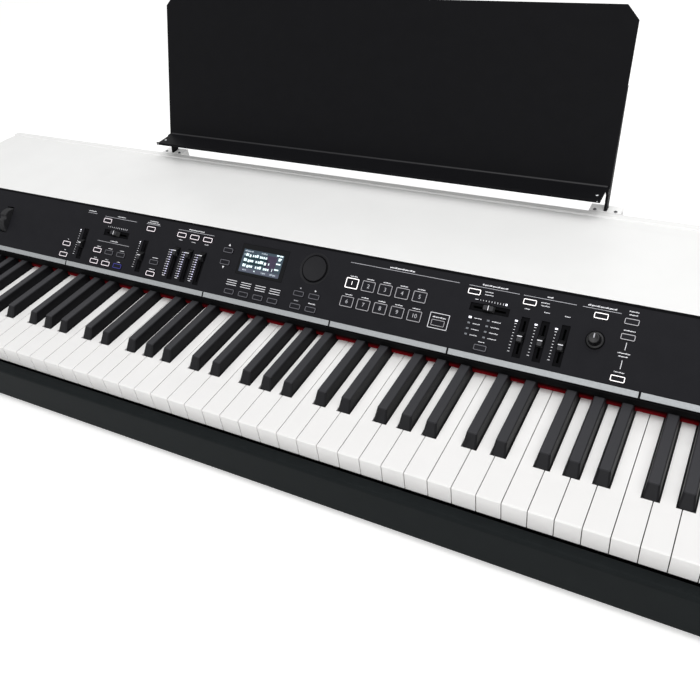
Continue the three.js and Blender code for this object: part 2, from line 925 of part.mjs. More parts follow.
// Silver strip in six lengths, held in line by a thinner tongue across each gap between them
function make_trim() {
  const extra = THREE.MathUtils.degToRad(trim_extra_tilt);
  const head = -seat_gap - trim_thickness * Math.sin(extra);
  const section = (inset, top, bottom) => {
    const corner = (along, depth) => [
      head - along * Math.cos(extra) + depth * Math.sin(extra),
      -along * Math.sin(extra) - depth * Math.cos(extra),
    ];
    return [
      corner(inset, top),
      corner(trim_width - inset, top),
      corner(trim_width - inset, bottom),
      corner(inset, bottom),
    ];
  };
  const length = section(0, 0, trim_thickness);
  const tongue = section(trim_tongue_inset, trim_joint_depth, trim_thickness - trim_tongue_inset);
  const joints = [
    trim_joint_far_left, trim_joint_left, trim_joint_middle, trim_joint_right, trim_joint_far_right,
  ];
  const half_gap = trim_joint_gap / 2;
  const starts = [-inner_half_width, ...joints.map((x) => x + half_gap)];
  const ends = [...joints.map((x) => x - half_gap), inner_half_width];
  const lengths = starts.map((start, i) => side_prism(length, start, ends[i]));
  const tongues = joints.map((x) => side_prism(
    tongue, x - half_gap - trim_tongue_length, x + half_gap + trim_tongue_length));
  const strip = [...lengths, ...tongues].reduce((whole, piece) => whole.add(piece));
  add(panel_group, 'trim_strip', geometry_of(strip), trim_silver);
}

// Where each group of buttons stands on the panel
function row_of(count, first, pitch, row) {
  return Array.from({ length: count }, (_, i) => [first + i * pitch, row]);
}

const button_groups = {
  switch_buttons: [[switch_x, row_bottom], [switch_x, row_middle]],
  dynamics_buttons: [
    [dynamics_button_x, row_top],
    ...row_of(curve_count, curve_x, curve_pitch, row_middle),
    ...row_of(curve_count, curve_x, curve_pitch, row_bottom),
  ],
  touch_buttons: [[transpose_x, row_top], [split_x, row_middle], [split_x, row_bottom]],
  part_buttons: row_of(part_count, part_x, part_pitch, row_top),
  display_buttons: [
    [page_x, page_high_row],
    [page_x, page_low_row],
    ...row_of(function_count, function_x, function_pitch, row_bottom),
  ],
  cursor_buttons: [
    ...row_of(cursor_count, cursor_x, cursor_pitch, row_middle),
    ...row_of(cursor_count, cursor_x, cursor_pitch, row_bottom),
  ],
  effect_buttons: [
    [reverb_button_x, row_top],
    [type_button_x, row_bottom],
    [equaliser_x, row_top],
    [tone_x, row_top],
  ],
  system_buttons: [[system_x, row_top], [system_x, system_row], [system_x, row_bottom]],
};
// Runs of the thin web that joins each group's buttons under the panel
const curve_right = curve_x + (curve_count - 1) * curve_pitch;
const part_right = part_x + (part_count - 1) * part_pitch;
const function_right = function_x + (function_count - 1) * function_pitch;
const number_right = number_x + (number_count - 1) * number_pitch;
const button_webs = {
  switch_buttons: [[switch_x, row_bottom], [switch_x, row_middle]],
  dynamics_buttons: [
    [dynamics_button_x, row_top],
    [web_left_x, row_top],
    [web_left_x, row_middle],
    [curve_right, row_middle],
    [curve_right, row_bottom],
    [curve_x, row_bottom],
  ],
  touch_buttons: [[transpose_x, row_top], [split_x, row_top], [split_x, row_bottom]],
  part_buttons: [[part_x, row_top], [part_right, row_top]],
  display_buttons: [
    [page_x, page_high_row],
    [page_x, row_bottom],
    [function_right, row_bottom],
  ],
  cursor_buttons: [
    [cursor_x, row_middle],
    [cursor_x + cursor_pitch, row_middle],
    [cursor_x + cursor_pitch, row_bottom],
    [cursor_x, row_bottom],
  ],
  sound_buttons: [
    [number_x, number_high_row],
    [number_right, number_high_row],
    [number_right, number_low_row],
    [number_x, number_low_row],
    [favourite_x, number_low_row],
  ],
  effect_buttons: [
    [reverb_button_x, row_top],
    [tone_x, row_top],
    [web_right_x, row_top],
    [web_right_x, row_bottom],
    [type_button_x, row_bottom],
  ],
  system_buttons: [[system_x, row_top], [system_x, row_bottom]],
};
const number_places = [
  ...row_of(number_count, number_x, number_pitch, number_high_row),
  ...row_of(number_count, number_x, number_pitch, number_low_row),
];

// Sliders: place on the panel, whether they run across it, and where the cap stands in its travel
const sliders = {
  slider_volume: { x: volume_x, y: slider_row, across: false, share: 0 },
  slider_dynamics: { x: dynamics_slider_x, y: across_row, across: true, share: 0 },
  slider_touch: { x: touch_slider_x, y: slider_row, across: false, share: 0 },
  slider_part_1: { x: part_x, y: slider_row, across: false, share: 1 },
  slider_part_2: { x: part_x + part_pitch, y: slider_row, across: false, share: 1 },
  slider_part_3: { x: part_right, y: slider_row, across: false, share: 1 },
  slider_reverb: { x: reverb_slider_x, y: across_row, across: true, share: 0 },
  slider_eq_low: { x: equaliser_x, y: slider_row, across: false, share: 0 },
  slider_eq_mid: { x: equaliser_x + equaliser_pitch, y: slider_row, across: false, share: 0 },
  slider_eq_high: { x: equaliser_x + 2 * equaliser_pitch, y: slider_row, across: false, share: 0 },
};
const board_top = -board_depth;
const board_left = wheel_x + board_from_wheel;
const board_right = system_x + board_past_system;

// Rectangle for a slider feature, turned when the slider runs across the panel
function slider_rectangle({ x, y, across }, width, length) {
  const w = (across ? length : width) / 2;
  const h = (across ? width : length) / 2;
  return rectangle(x - w, x + w, y - h, y + h);
}

// Web along straight runs between the given places, just below the panel
function button_web(places) {
  const high = -panel_thickness - seat_gap;
  const half = web_width / 2;
  const runs = [];
  for (let i = 0; i < places.length - 1; i += 1) {
    const [x1, y1] = places[i];
    const [x2, y2] = places[i + 1];
    runs.push(block(
      Math.min(x1, x2) - half, Math.max(x1, x2) + half,
      Math.min(y1, y2) - half, Math.max(y1, y2) + half,
      high - web_thickness, high,
    ));
  }
  return runs.reduce((whole, run) => whole.add(run));
}

function make_buttons() {
  const low = board_top + button_travel + seat_gap;
  const button = ([x, y], width, height) => plan_prism(
    clipped_rectangle(x, y, width, height, button_corner), low, button_rise);
  const numbers = number_places.map((place) => button(place, number_width, number_height));
  const favourite = button([favourite_x, favourite_row], favourite_width, favourite_height);
  const buttons = { sound_buttons: [...numbers, favourite] };
  for (const [name, places] of Object.entries(button_groups)) {
    buttons[name] = places.map((place) => button(place, button_width, button_height));
  }
  for (const [name, web] of Object.entries(button_webs)) {
    const joined = buttons[name].reduce((whole, piece) => whole.add(piece), button_web(web));
    add(panel_group, name, geometry_of(joined), black_plastic);
  }
}

// Slider cap: a waisted wedge with a ridge across its middle, on a blade that runs in the slot
function slider_cap(slider) {
  const { x, y, across, share } = slider;
  const shift = (share * slider_travel) / 2;
  const centre_x = across ? x + shift : x;
  const centre_y = across ? y : y + shift;
  const ring = (width, length, z) => {
    const place = { x: centre_x, y: centre_y, across };
    return slider_rectangle(place, width, length).map(([u, v]) => [u, v, z]);
  };
  const cap = loft([
    ring(cap_width, cap_length, -cap_sink),
    ring(cap_width, cap_length, 0),
    ring(cap_width, cap_waist_length, cap_waist_rise),
    ring(cap_ridge_width, cap_ridge_length, cap_rise),
  ]);
  const blade_place = { x: centre_x, y: centre_y, across };
  const blade = plan_prism(slider_rectangle(blade_place, stem_width, stem_length), -stem_depth, 0);
  return cap.add(blade);
}

function make_sliders() {
  for (const [name, slider] of Object.entries(sliders)) {
    add(panel_group, name, geometry_of(slider_cap(slider)), black_plastic);
  }
}

// Slider bodies, which stand on the panel's circuit board
function slider_bodies() {
  const top = -panel_thickness - seat_gap;
  return Object.values(sliders).map((slider) => {
    const body = slider_rectangle(slider, slider_frame_width, slider_frame_length);
    const groove = slider_rectangle(
      slider, stem_width + 2 * running_gap, slider_travel + stem_length + 2 * running_gap);
    return plan_prism(body, board_top - board_thickness / 2, top)
      .subtract(plan_prism(groove, top - slider_frame_groove, top + cut_over));
  });
}

// Control panel with a hole for each control, pockets round the sliders and dials, and bosses below
function make_panel() {
  let panel = plan_prism(
    rectangle(-inner_half_width, inner_half_width, 0, panel_length), -panel_thickness, 0);
  const through = (points) => plan_prism(points, -panel_thickness - cut_over, cut_over);
  const cuts = [];
  const window_in_panel = (x, y, width, height) => through(rectangle(
    x - width / 2 - button_gap, x + width / 2 + button_gap,
    y - height / 2 - button_gap, y + height / 2 + button_gap));
  for (const [x, y] of Object.values(button_groups).flat()) {
    cuts.push(window_in_panel(x, y, button_width, button_height));
  }
  for (const [x, y] of number_places) {
    cuts.push(window_in_panel(x, y, number_width, number_height));
  }
  cuts.push(window_in_panel(favourite_x, favourite_row, favourite_width, favourite_height));
  cuts.push(window_in_panel(display_x, display_row, window_width, window_height));
  for (const [x, y] of light_places()) {
    cuts.push(window_in_panel(x, y, light_width, light_height));
  }
  const recess_length = slider_travel + cap_length + 2 * button_gap;
  for (const slider of Object.values(sliders)) {
    cuts.push(plan_prism(slider_rectangle(slider, recess_width, recess_length), -recess_depth, cut_over));
    cuts.push(through(slider_rectangle(
      slider, stem_width + 2 * running_gap, slider_travel + stem_length + 2 * running_gap)));
  }
  for (const [x, y, radius] of [
    [dial_x, dial_row, dial_recess_radius],
    [tone_x, knob_row, knob_recess_radius],
  ]) {
    cuts.push(plan_prism(circle(x, y, radius, round_steps), -dial_recess_depth, cut_over));
    cuts.push(through(circle(x, y, shaft_radius + running_gap, small_round_steps)));
  }
  const wheel_half_width = wheel_width / 2 + wheel_slot_gap;
  const wheel_half_length = wheel_radius;
  cuts.push(through(clipped_rectangle(
    wheel_x, wheel_row, 2 * wheel_half_width, 2 * wheel_half_length, panel_corner)));
  for (const cut of cuts) {
    panel = panel.subtract(cut);
  }
  const first_boss = board_left + boss_end_inset;
  const boss_pitch = (board_right - boss_end_inset - first_boss) / (boss_count - 1);
  for (const [x, y] of row_of(boss_count, first_boss, boss_pitch, panel_length - boss_edge_inset)) {
    const boss = circle(x, y, boss_radius, screw_steps);
    panel = panel.add(plan_prism(boss, board_top + seat_gap, -panel_thickness / 2));
  }
  for (const side of [-1, 1]) {
    panel = panel.add(wheel_bearing(side, wheel_half_width));
  }
  add(panel_group, 'control_panel', geometry_of(panel), panel_black);
}

// Rib below the panel with a hole for the pitch wheel's axle
function wheel_bearing(side, inner) {
  const low = -wheel_sink - wheel_axle_radius - wheel_rib;
  const half = wheel_axle_radius + wheel_rib;
  const rib = rectangle(wheel_row - half, wheel_row + half, low, -panel_thickness / 2);
  const hole = circle(wheel_row, -wheel_sink, wheel_axle_radius + seat_gap, small_round_steps);
  const near = side > 0 ? wheel_x + inner : wheel_x - inner - wheel_rib;
  return side_prism(rib, near, near + wheel_rib)
    .subtract(side_prism(hole, near - cut_over, near + wheel_rib + cut_over));
}

// Pitch wheel with a finger notch, on its axle
function make_wheel() {
  const rim = circle(wheel_row, -wheel_sink, wheel_radius, round_steps);
  const half = wheel_width / 2;
  const notch = circle(wheel_row, wheel_radius - wheel_sink, wheel_notch_radius, small_round_steps);
  const disc = side_prism(rim, wheel_x - half + wheel_edge, wheel_x + half - wheel_edge);
  const slim = circle(wheel_row, -wheel_sink, wheel_radius - wheel_edge, round_steps);
  const axle = circle(wheel_row, -wheel_sink, wheel_axle_radius, small_round_steps);
  const wheel = disc
    .add(side_prism(slim, wheel_x - half, wheel_x + half))
    .subtract(side_prism(notch, wheel_x - half - cut_over, wheel_x + half + cut_over))
    .add(side_prism(axle, wheel_x - half - wheel_axle_length, wheel_x + half + wheel_axle_length));
  add(panel_group, 'pitch_wheel', geometry_of(wheel), black_plastic);
}

function make_dial_and_knob() {
  const low = board_top + seat_gap;
  const dial_foot = running_gap - dial_recess_depth;
  const dial = turned([
    [0, low],
    [shaft_radius, low],
    [shaft_radius, dial_foot],
    [dial_radius, dial_foot],
    [dial_radius, dial_rise - dial_edge],
    [dial_radius - dial_edge, dial_rise],
    [dial_radius - dial_rim, dial_rise - dial_dish],
    [0, dial_rise - dial_dish],
  ], round_steps).translate([dial_x, dial_row, 0]);
  add(panel_group, 'value_dial', geometry_of(dial), panel_black);

  const knob = turned([
    [0, low],
    [shaft_radius, low],
    [shaft_radius, dial_foot],
    [knob_skirt_radius, dial_foot],
    [knob_skirt_radius, knob_skirt_rise - knob_edge],
    [knob_radius, knob_skirt_rise],
    [knob_top_radius, knob_rise - knob_edge],
    [knob_top_radius - knob_edge, knob_rise],
    [0, knob_rise],
  ], knob_steps).translate([tone_x, knob_row, 0]);
  const pointer = block(
    tone_x - knob_pointer_width / 2, tone_x + knob_pointer_width / 2,
    knob_row, knob_row + knob_pointer_length,
    knob_rise - knob_edge, knob_rise + knob_pointer_rise,
  );
  add(panel_group, 'tone_knob', geometry_of(knob.add(pointer)), black_plastic);
}

function light_places() {
  const places = [];
  for (let column = 0; column < type_light_columns; column += 1) {
    for (let row = 0; row < type_light_rows; row += 1) {
      places.push([type_light_x + column * type_light_pitch, type_light_row + row * type_light_row_pitch]);
    }
  }
  return places;
}

// Display window, and below it the circuit board with the slider bodies, the display and its light pipes
function make_panel_inner() {
  const window_plate = block(
    display_x - window_width / 2, display_x + window_width / 2,
    display_row - window_height / 2, display_row + window_height / 2,
    -window_thickness, 0,
  );
  add(panel_group, 'display_window', geometry_of(window_plate), glass_black);

  const root = board_top - board_thickness / 2;
  const module_top = -panel_thickness - seat_gap;
  const raised = block(
    display_x - window_width / 2 + display_lip, display_x + window_width / 2 - display_lip,
    display_row - window_height / 2 + display_lip, display_row + window_height / 2 - display_lip,
    root, -window_thickness - seat_gap,
  );
  const module_body = block(
    display_x - module_width / 2, display_x + module_width / 2,
    display_row - module_height / 2, display_row + module_height / 2,
    module_top - module_thickness, module_top,
  );
  const lights = light_places().map(([x, y]) => block(
    x - light_width / 2, x + light_width / 2, y - light_height / 2, y + light_height / 2, root, 0));
  const plate = block(
    board_left, board_right,
    board_margin, panel_length - board_margin,
    board_top - board_thickness, board_top,
  );
  const board = [module_body, raised, ...lights, ...slider_bodies()]
    .reduce((whole, piece) => whole.add(piece), plate);
  add(panel_group, 'panel_board', geometry_of(board), board_green);
}

// Main board on pillars, and the power supply in its steel box
function make_electronics() {
  const low = tray_top + seat_gap;
  const board_low = tray_top + main_board_rise;
  const front = main_board_y - main_board_width / 2;
  const back = main_board_y + main_board_width / 2;
  const half = main_board_length / 2;
  let board = block(-half, half, front, back, board_low, board_low + board_thickness);
  const inset = 2 * board_pillar_radius;
  for (const x of [inset - half, 0, half - inset]) {
    for (const y of [front + inset, back - inset]) {
      const pillar = circle(x, y, board_pillar_radius, screw_steps);
      board = board.add(plan_prism(pillar, low, board_low + board_thickness / 2));
    }
  }
  add(stage, 'main_board', geometry_of(board), board_green);

  const supply = block(
    supply_x - supply_length / 2, supply_x + supply_length / 2,
    main_board_y - supply_width / 2, main_board_y + supply_width / 2,
    low, low + supply_height,
  );
  const hollow = block(
    supply_x - supply_length / 2 - cut_over, supply_x + supply_length / 2 - supply_wall,
    main_board_y - supply_width / 2 + supply_wall, main_board_y + supply_width / 2 - supply_wall,
    low + supply_wall, low + supply_height - supply_wall,
  );
  add(stage, 'power_supply', geometry_of(supply.subtract(hollow)), steel_grey);
}

// Rear panel and its sockets
function rear_panel_front() {
  return rear_panel_back() - rear_panel_thickness;
}

function rear_panel_back() {
  return case_back - cover_thickness - seat_gap;
}

const jack_places = [
  headphone_x,
  ...row_of(pedal_count, pedal_x, pedal_pitch, socket_z).map(([x]) => x),
  ...row_of(output_count, output_x, output_pitch, socket_z).map(([x]) => x),
];
const balanced_places = [balanced_x, balanced_x + balanced_pitch];
const midi_places = [midi_x, midi_x + midi_pitch];
const data_places = [data_x, data_x - data_pitch];

function make_rear_panel() {
  let panel = block(
    -inner_half_width, inner_half_width,
    rear_panel_front(), rear_panel_back(),
    case_floor + tray_thickness, rear_panel_top_z,
  );
  const holes = [];
  for (const x of jack_places) {
    holes.push(circle(x, socket_z, jack_barrel_radius + seat_gap, socket_steps));
  }
  for (const x of balanced_places) {
    holes.push(circle(x, socket_z, balanced_barrel + seat_gap, socket_steps));
  }
  for (const x of midi_places) {
    holes.push(circle(x, socket_z, midi_barrel + seat_gap, socket_steps));
  }
  const grown = 2 * seat_gap;
  for (const x of data_places) {
    holes.push(centred(x, data_width + grown, data_height + grown));
  }
  holes.push(centred(mains_x, mains_width + grown, mains_height + grown));
  holes.push(centred(power_x, power_width + grown, power_height + grown));
  for (const outline of holes) {
    panel = panel.subtract(side_view_to_back(
      outline, rear_panel_front() - cut_over, rear_panel_back() + cut_over));
  }
  add(stage, 'rear_panel', geometry_of(panel), rail_black);
}

function centred(x, width, height) {
  return rectangle(x - width / 2, x + width / 2, socket_z - height / 2, socket_z + height / 2);
}

// Prism that runs from front to back, of an outline drawn as width and height
function side_view_to_back(outline, front, back) {
  const turn = new THREE.Matrix4().makeBasis(
    new THREE.Vector3(1, 0, 0),
    new THREE.Vector3(0, 0, 1),
    new THREE.Vector3(0, -1, 0),
  );
  return solid_of(extruded(outline, back - front).applyMatrix4(turn).translate(0, back, 0));
}

// Round socket: a barrel through the panel, a nut or flange outside and a blind bore
function round_socket({ bore, bore_depth, barrel, flange, flange_height }, x) {
  const face = rear_panel_back() + seat_gap;
  const deep = socket_board_front() - socket_board_thickness / 2;
  return turned_back([
    [0, deep],
    [barrel, deep],
    [barrel, face],
    [flange, face],
    [flange, face + flange_height],
    [bore, face + flange_height],
    [bore, face + flange_height - bore_depth],
    [0, face + flange_height - bore_depth],
  ], socket_steps).translate([x, 0, socket_z]);
}

function socket_board_front() {
  return rear_panel_back() - socket_depth;
}

// Sockets on their own upright circuit board, held in the rear panel by their nuts and flanges
function make_sockets() {
  const solids = jack_places.map((x) => round_socket({
    bore: jack_bore, bore_depth: jack_bore_depth, barrel: jack_barrel_radius,
    flange: jack_nut_radius, flange_height: jack_nut_height,
  }, x));
  const pin_root = rear_panel_back() + balanced_flange_height - balanced_bore_depth - socket_overlap;
  for (const x of balanced_places) {
    let socket = round_socket({
      bore: balanced_bore, bore_depth: balanced_bore_depth, barrel: balanced_barrel,
      flange: balanced_flange, flange_height: balanced_flange_height,
    }, x);
    for (let i = 0; i < balanced_pin_count; i += 1) {
      const angle = -(Math.PI * i) / 2;
      const pin = circle(
        x + balanced_pin_circle * Math.cos(angle), socket_z + balanced_pin_circle * Math.sin(angle),
        balanced_pin_radius, screw_steps);
      socket = socket.add(side_view_to_back(pin, pin_root, pin_root + balanced_pin_length));
    }
    solids.push(socket);
  }
  for (const x of midi_places) {
    solids.push(round_socket({
      bore: midi_bore, bore_depth: midi_bore_depth, barrel: midi_barrel,
      flange: midi_barrel + data_stand, flange_height: data_stand,
    }, x));
  }
  const front = socket_board_front();
  const data_back = rear_panel_back() + data_stand;
  for (const x of data_places) {
    const shell = side_view_to_back(centred(x, data_width, data_height), front, data_back);
    const inner = side_view_to_back(
      centred(x, data_width - 2 * data_wall, data_height - 2 * data_wall),
      data_back - data_bore_depth, data_back + cut_over);
    solids.push(shell.subtract(inner));
  }
  const board = block(
    Math.min(headphone_x, ...data_places) - socket_board_margin,
    Math.max(...balanced_places) + socket_board_margin,
    front - socket_board_thickness, front,
    socket_z - socket_board_height / 2, socket_z + socket_board_height / 2,
  );
  const whole = solids.reduce((sum, solid) => sum.add(solid), board);
  add(stage, 'socket_board', geometry_of(whole), jack_black);
}

// Mains inlet with three blades, and the rocker switch beside it
function make_mains() {
  const flange_back = rear_panel_back() + seat_gap + mains_flange_height;
  const body = side_view_to_back(
    centred(mains_x, mains_width, mains_height), flange_back - mains_depth, flange_back);
  const flange = side_view_to_back(
    centred(mains_x, mains_width + 2 * mains_flange, mains_height + 2 * mains_flange),
    flange_back - mains_flange_height, flange_back);
  const hollow = side_view_to_back(
    centred(mains_x, mains_width - 2 * mains_wall, mains_height - 2 * mains_wall),
    flange_back - mains_bore_depth, flange_back + cut_over);
  let inlet = body.add(flange).subtract(hollow);
  const root = flange_back - mains_bore_depth - mains_wall / 2;
  for (const side of [-1, 0, 1]) {
    const x = mains_x + side * mains_blade_pitch;
    const blade = rectangle(
      x - mains_blade_width / 2, x + mains_blade_width / 2,
      socket_z - mains_blade_height / 2, socket_z + mains_blade_height / 2);
    inlet = inlet.add(side_view_to_back(blade, root, root + mains_blade_length));
  }
  add(stage, 'mains_inlet', geometry_of(inlet), jack_black);
}

// Rocker in the rear panel; it tips about a line across its middle
function make_power_switch() {
  const back = rear_panel_back() + power_frame;
  const reach = power_height / 2 - seat_gap;
  const rock = THREE.MathUtils.degToRad(power_rock) / 2;
  const rise = reach * Math.sin(rock);
  const outline = [
    [back - power_depth, socket_z - reach / 2],
    [back, socket_z - reach + rise],
    [back + power_crest, socket_z - reach + rise],
    [back, socket_z],
    [back + power_crest, socket_z + reach - rise],
    [back, socket_z + reach - rise],
    [back - power_depth, socket_z + reach / 2],
  ];
  const half = power_width / 2;
  const rocker = side_prism(outline, power_x - half, power_x + half);
  add(stage, 'power_switch', geometry_of(rocker), jack_black);
}

// Music rest: a bent steel plate with a shelf, on two flat legs whose tongues drop into rear brackets
const lean = THREE.MathUtils.degToRad(rest_tilt);
const leg_front_y = case_back + seat_gap + bracket_wall + seat_gap;
const crease_y = leg_front_y + (rest_crease_rise / Math.tan(lean));
const crease_z = cover_top_z + rest_crease_rise;

function up_the_rest(distance, depth) {
  return [
    crease_y + distance * Math.cos(lean) + depth * Math.sin(lean),
    crease_z + distance * Math.sin(lean) - depth * Math.cos(lean),
  ];
}

function make_music_rest() {
  const middle = -rest_sheet / 2;
  const path = [
    [crease_y - rest_shelf_depth, crease_z + rest_lip],
    [crease_y - rest_shelf_depth, crease_z],
    [up_the_rest(0, middle)[0], crease_z],
    up_the_rest(rest_plate_height, middle),
  ];
  const half = rest_width / 2;
  const [top_y, top_z] = up_the_rest(rest_plate_height, 0);
  let rest = side_prism(sheet_outline(path, rest_sheet), -half, half);
  for (const side of [-1, 1]) {
    const corner = [
      [side * (half + cut_over), top_z + cut_over],
      [side * (half + cut_over), top_z - rest_corner],
      [side * half, top_z - rest_corner],
      [side * (half - rest_corner), top_z],
      [side * (half - rest_corner), top_z + cut_over],
    ];
    const ordered = side > 0 ? corner.reverse() : corner;
    rest = rest.subtract(side_view_to_back(ordered, crease_y, top_y + cut_over));
    const ends = [side * (half - rest_shelf_inset), side * (half + cut_over)];
    rest = rest.subtract(block(
      Math.min(...ends), Math.max(...ends),
      crease_y - rest_shelf_depth - cut_over, crease_y - leg_arm,
      crease_z - rest_sheet, crease_z + rest_lip + cut_over,
    ));
  }

  const bend_z = bracket_top_z + seat_gap;
  const leg = [
    [leg_front_y, bend_z - leg_tongue],
    [leg_front_y + leg_depth - leg_taper, bend_z - leg_tongue],
    [leg_front_y + leg_depth, bend_z - leg_tongue + leg_taper],
    [leg_front_y + leg_depth, bend_z],
    up_the_rest(leg_climb, leg_taper),
    up_the_rest(leg_climb, middle),
    [up_the_rest(0, middle)[0], crease_z],
    [crease_y - leg_arm, crease_z],
    [crease_y - leg_arm, crease_z - leg_taper],
    [crease_y - leg_taper, crease_z - leg_arm_depth],
    [leg_front_y, bend_z],
  ];
  const outer = half - leg_inset;
  for (const side of [-1, 1]) {
    const near = Math.min(side * outer, side * (outer - leg_thickness));
    rest = rest.add(side_prism(leg, near, near + leg_thickness));
  }
  add(stage, 'music_rest', geometry_of(rest), jack_black);

  // Brackets on the rear panel, each with a slot for a tongue
  const tongue_centre = outer - leg_thickness / 2;
  const front = case_back + seat_gap;
  const back = leg_front_y + leg_depth + seat_gap + bracket_wall;
  const foot_y = rear_panel_back() + seat_gap;
  const foot_z = cover_rear_bottom_z - seat_gap;
  const outline = [
    [foot_y, bracket_bottom_z], [back, bracket_bottom_z], [back, bracket_top_z],
    [front, bracket_top_z], [front, foot_z], [foot_y, foot_z],
  ];
  for (const [name, side] of [['rest_bracket_left', -1], ['rest_bracket_right', 1]]) {
    const x = side * tongue_centre;
    const slot = block(
      x - leg_thickness / 2 - seat_gap, x + leg_thickness / 2 + seat_gap,
      leg_front_y - seat_gap, leg_front_y + leg_depth + seat_gap,
      bend_z - leg_tongue - seat_gap, bracket_top_z + cut_over,
    );
    const bracket = side_prism(outline, x - bracket_width / 2, x + bracket_width / 2).subtract(slot);
    add(stage, name, geometry_of(bracket), white_paint);
  }
  return Math.max(top_y, back);
}

make_keys();
make_key_frame();
make_cheeks();
make_front_rail();
make_tray();
make_feet();
make_cover();
make_fallboard();
make_trim();
make_panel();
make_buttons();
make_sliders();
make_dial_and_knob();
make_wheel();
make_panel_inner();
make_electronics();
make_rear_panel();
make_sockets();
make_mains();
make_power_switch();
const rearmost = make_music_rest();

// The part's own zero is on the floor, below the middle of its overall width and depth
stage.position.set(0, (case_front - rearmost) / 2, case_drop + foot_height + seat_gap);

export default stage;
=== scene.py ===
import math

import bmesh
import bpy
from mathutils import Matrix, Vector


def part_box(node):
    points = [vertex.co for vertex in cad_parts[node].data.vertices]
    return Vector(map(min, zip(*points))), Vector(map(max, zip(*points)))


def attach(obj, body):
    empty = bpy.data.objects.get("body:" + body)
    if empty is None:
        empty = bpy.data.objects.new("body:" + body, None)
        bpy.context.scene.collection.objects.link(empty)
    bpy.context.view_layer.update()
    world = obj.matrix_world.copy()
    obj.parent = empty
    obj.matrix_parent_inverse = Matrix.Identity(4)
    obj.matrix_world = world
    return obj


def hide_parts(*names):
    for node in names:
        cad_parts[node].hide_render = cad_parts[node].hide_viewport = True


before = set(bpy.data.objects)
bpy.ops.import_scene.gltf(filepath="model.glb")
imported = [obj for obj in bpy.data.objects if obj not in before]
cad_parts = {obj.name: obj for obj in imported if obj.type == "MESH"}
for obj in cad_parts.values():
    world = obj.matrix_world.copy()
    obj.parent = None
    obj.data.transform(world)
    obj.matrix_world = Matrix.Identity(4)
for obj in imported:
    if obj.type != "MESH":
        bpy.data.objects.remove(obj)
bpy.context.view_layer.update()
scene = bpy.context.scene

MM = 0.001

# Working coordinates in millimetres, with zero at the top front edge of the keyboard's middle
CASE_FRONT = 15
CASE_DROP = 72
cheek_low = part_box("left_cheek")[0]
WORK = Matrix.Translation((0, cheek_low[1] + CASE_FRONT * MM, cheek_low[2] + CASE_DROP * MM))
WORK = WORK @ Matrix.Scale(MM, 4)

# The sloped panel's own frame: across, up the slope and square to its face
PANEL_TILT = 41
PANEL_FRONT_Y, PANEL_FRONT_Z = 155.2, 26.5
PANEL = WORK @ Matrix.Translation((0, PANEL_FRONT_Y, PANEL_FRONT_Z))
PANEL = PANEL @ Matrix.Rotation(math.radians(PANEL_TILT), 4, "X")

# Turns that point a piece's height to the rear, to the front or down
TO_REAR = Matrix.Rotation(math.radians(-90), 4, "X")
TO_FRONT = Matrix.Rotation(math.radians(90), 4, "X")
TO_FLOOR = Matrix.Rotation(math.radians(180), 4, "X")

# Camera, fitted to the key pitch in the photograph
IMAGE_PIXELS = 700
FOCAL_PIXELS = 771.16
CENTRE_OFF_PIXELS = (-0.725, -0.931)
SENSOR_WIDTH = 36
CAMERA_REACH = 50
CAMERA_PLACE = Vector((471.5, -425.2, 537.8))
CAMERA_RIGHT = Vector((0.87910683, 0.46361769, -0.11058854))
CAMERA_DOWN = Vector((0.21490278, -0.59265943, -0.77625485))
CAMERA_AHEAD = Vector((-0.42542683, 0.65864515, -0.62064368))


def add_camera():
    data = bpy.data.cameras.new("camera")
    data.sensor_width = SENSOR_WIDTH
    data.lens = FOCAL_PIXELS / IMAGE_PIXELS * SENSOR_WIDTH
    data.shift_x, data.shift_y = (offset / IMAGE_PIXELS for offset in CENTRE_OFF_PIXELS)
    data.clip_end = CAMERA_REACH
    camera = bpy.data.objects.new("camera", data)
    scene.collection.objects.link(camera)
    turn = Matrix((CAMERA_RIGHT, -CAMERA_DOWN, -CAMERA_AHEAD)).transposed()
    camera.matrix_world = Matrix.Translation(WORK @ CAMERA_PLACE) @ turn.to_4x4()
    scene.camera = camera


add_camera()


# Finishes
MOTTLE_DETAIL, GRAIN_DETAIL, BUMP_DETAIL = 4, 3, 2
MOTTLE_FROM, MOTTLE_TO = 0.3, 0.7
LEAST_ROUGHNESS, COAT_ROUGHNESS, SHEEN_ROUGHNESS = 0.02, 0.08, 0.6
# Heights of an upward normal over which the painted light on the black keys' tops comes in
LIT_TOP_FROM, LIT_TOP_TO = 0.45, 0.95
# Sockets of a mix node in its colour form: share, the two colours and the result
MIX_SHARE, MIX_FIRST, MIX_SECOND, MIX_RESULT = 0, 6, 7, 2


def linear(code):
    """Linear values of a colour that is written as six hexadecimal digits."""
    values = []
    for start in (0, 2, 4):
        share = int(code[start:start + 2], 16) / 255
        values.append(share / 12.92 if share <= 0.04045 else ((share + 0.055) / 1.055) ** 2.4)
    return (*values, 1)


def noise(tree, place, scale, detail):
    node = tree.nodes.new("ShaderNodeTexNoise")
    node.inputs["Scale"].default_value = scale
    node.inputs["Detail"].default_value = detail
    tree.links.new(place, node.inputs["Vector"])
    return node.outputs["Fac"]


def remap(tree, value, from_low, from_high, to_low, to_high):
    node = tree.nodes.new("ShaderNodeMapRange")
    node.inputs["From Min"].default_value = from_low
    node.inputs["From Max"].default_value = from_high
    node.inputs["To Min"].default_value = to_low
    node.inputs["To Max"].default_value = to_high
    tree.links.new(value, node.inputs["Value"])
    return node.outputs["Result"]


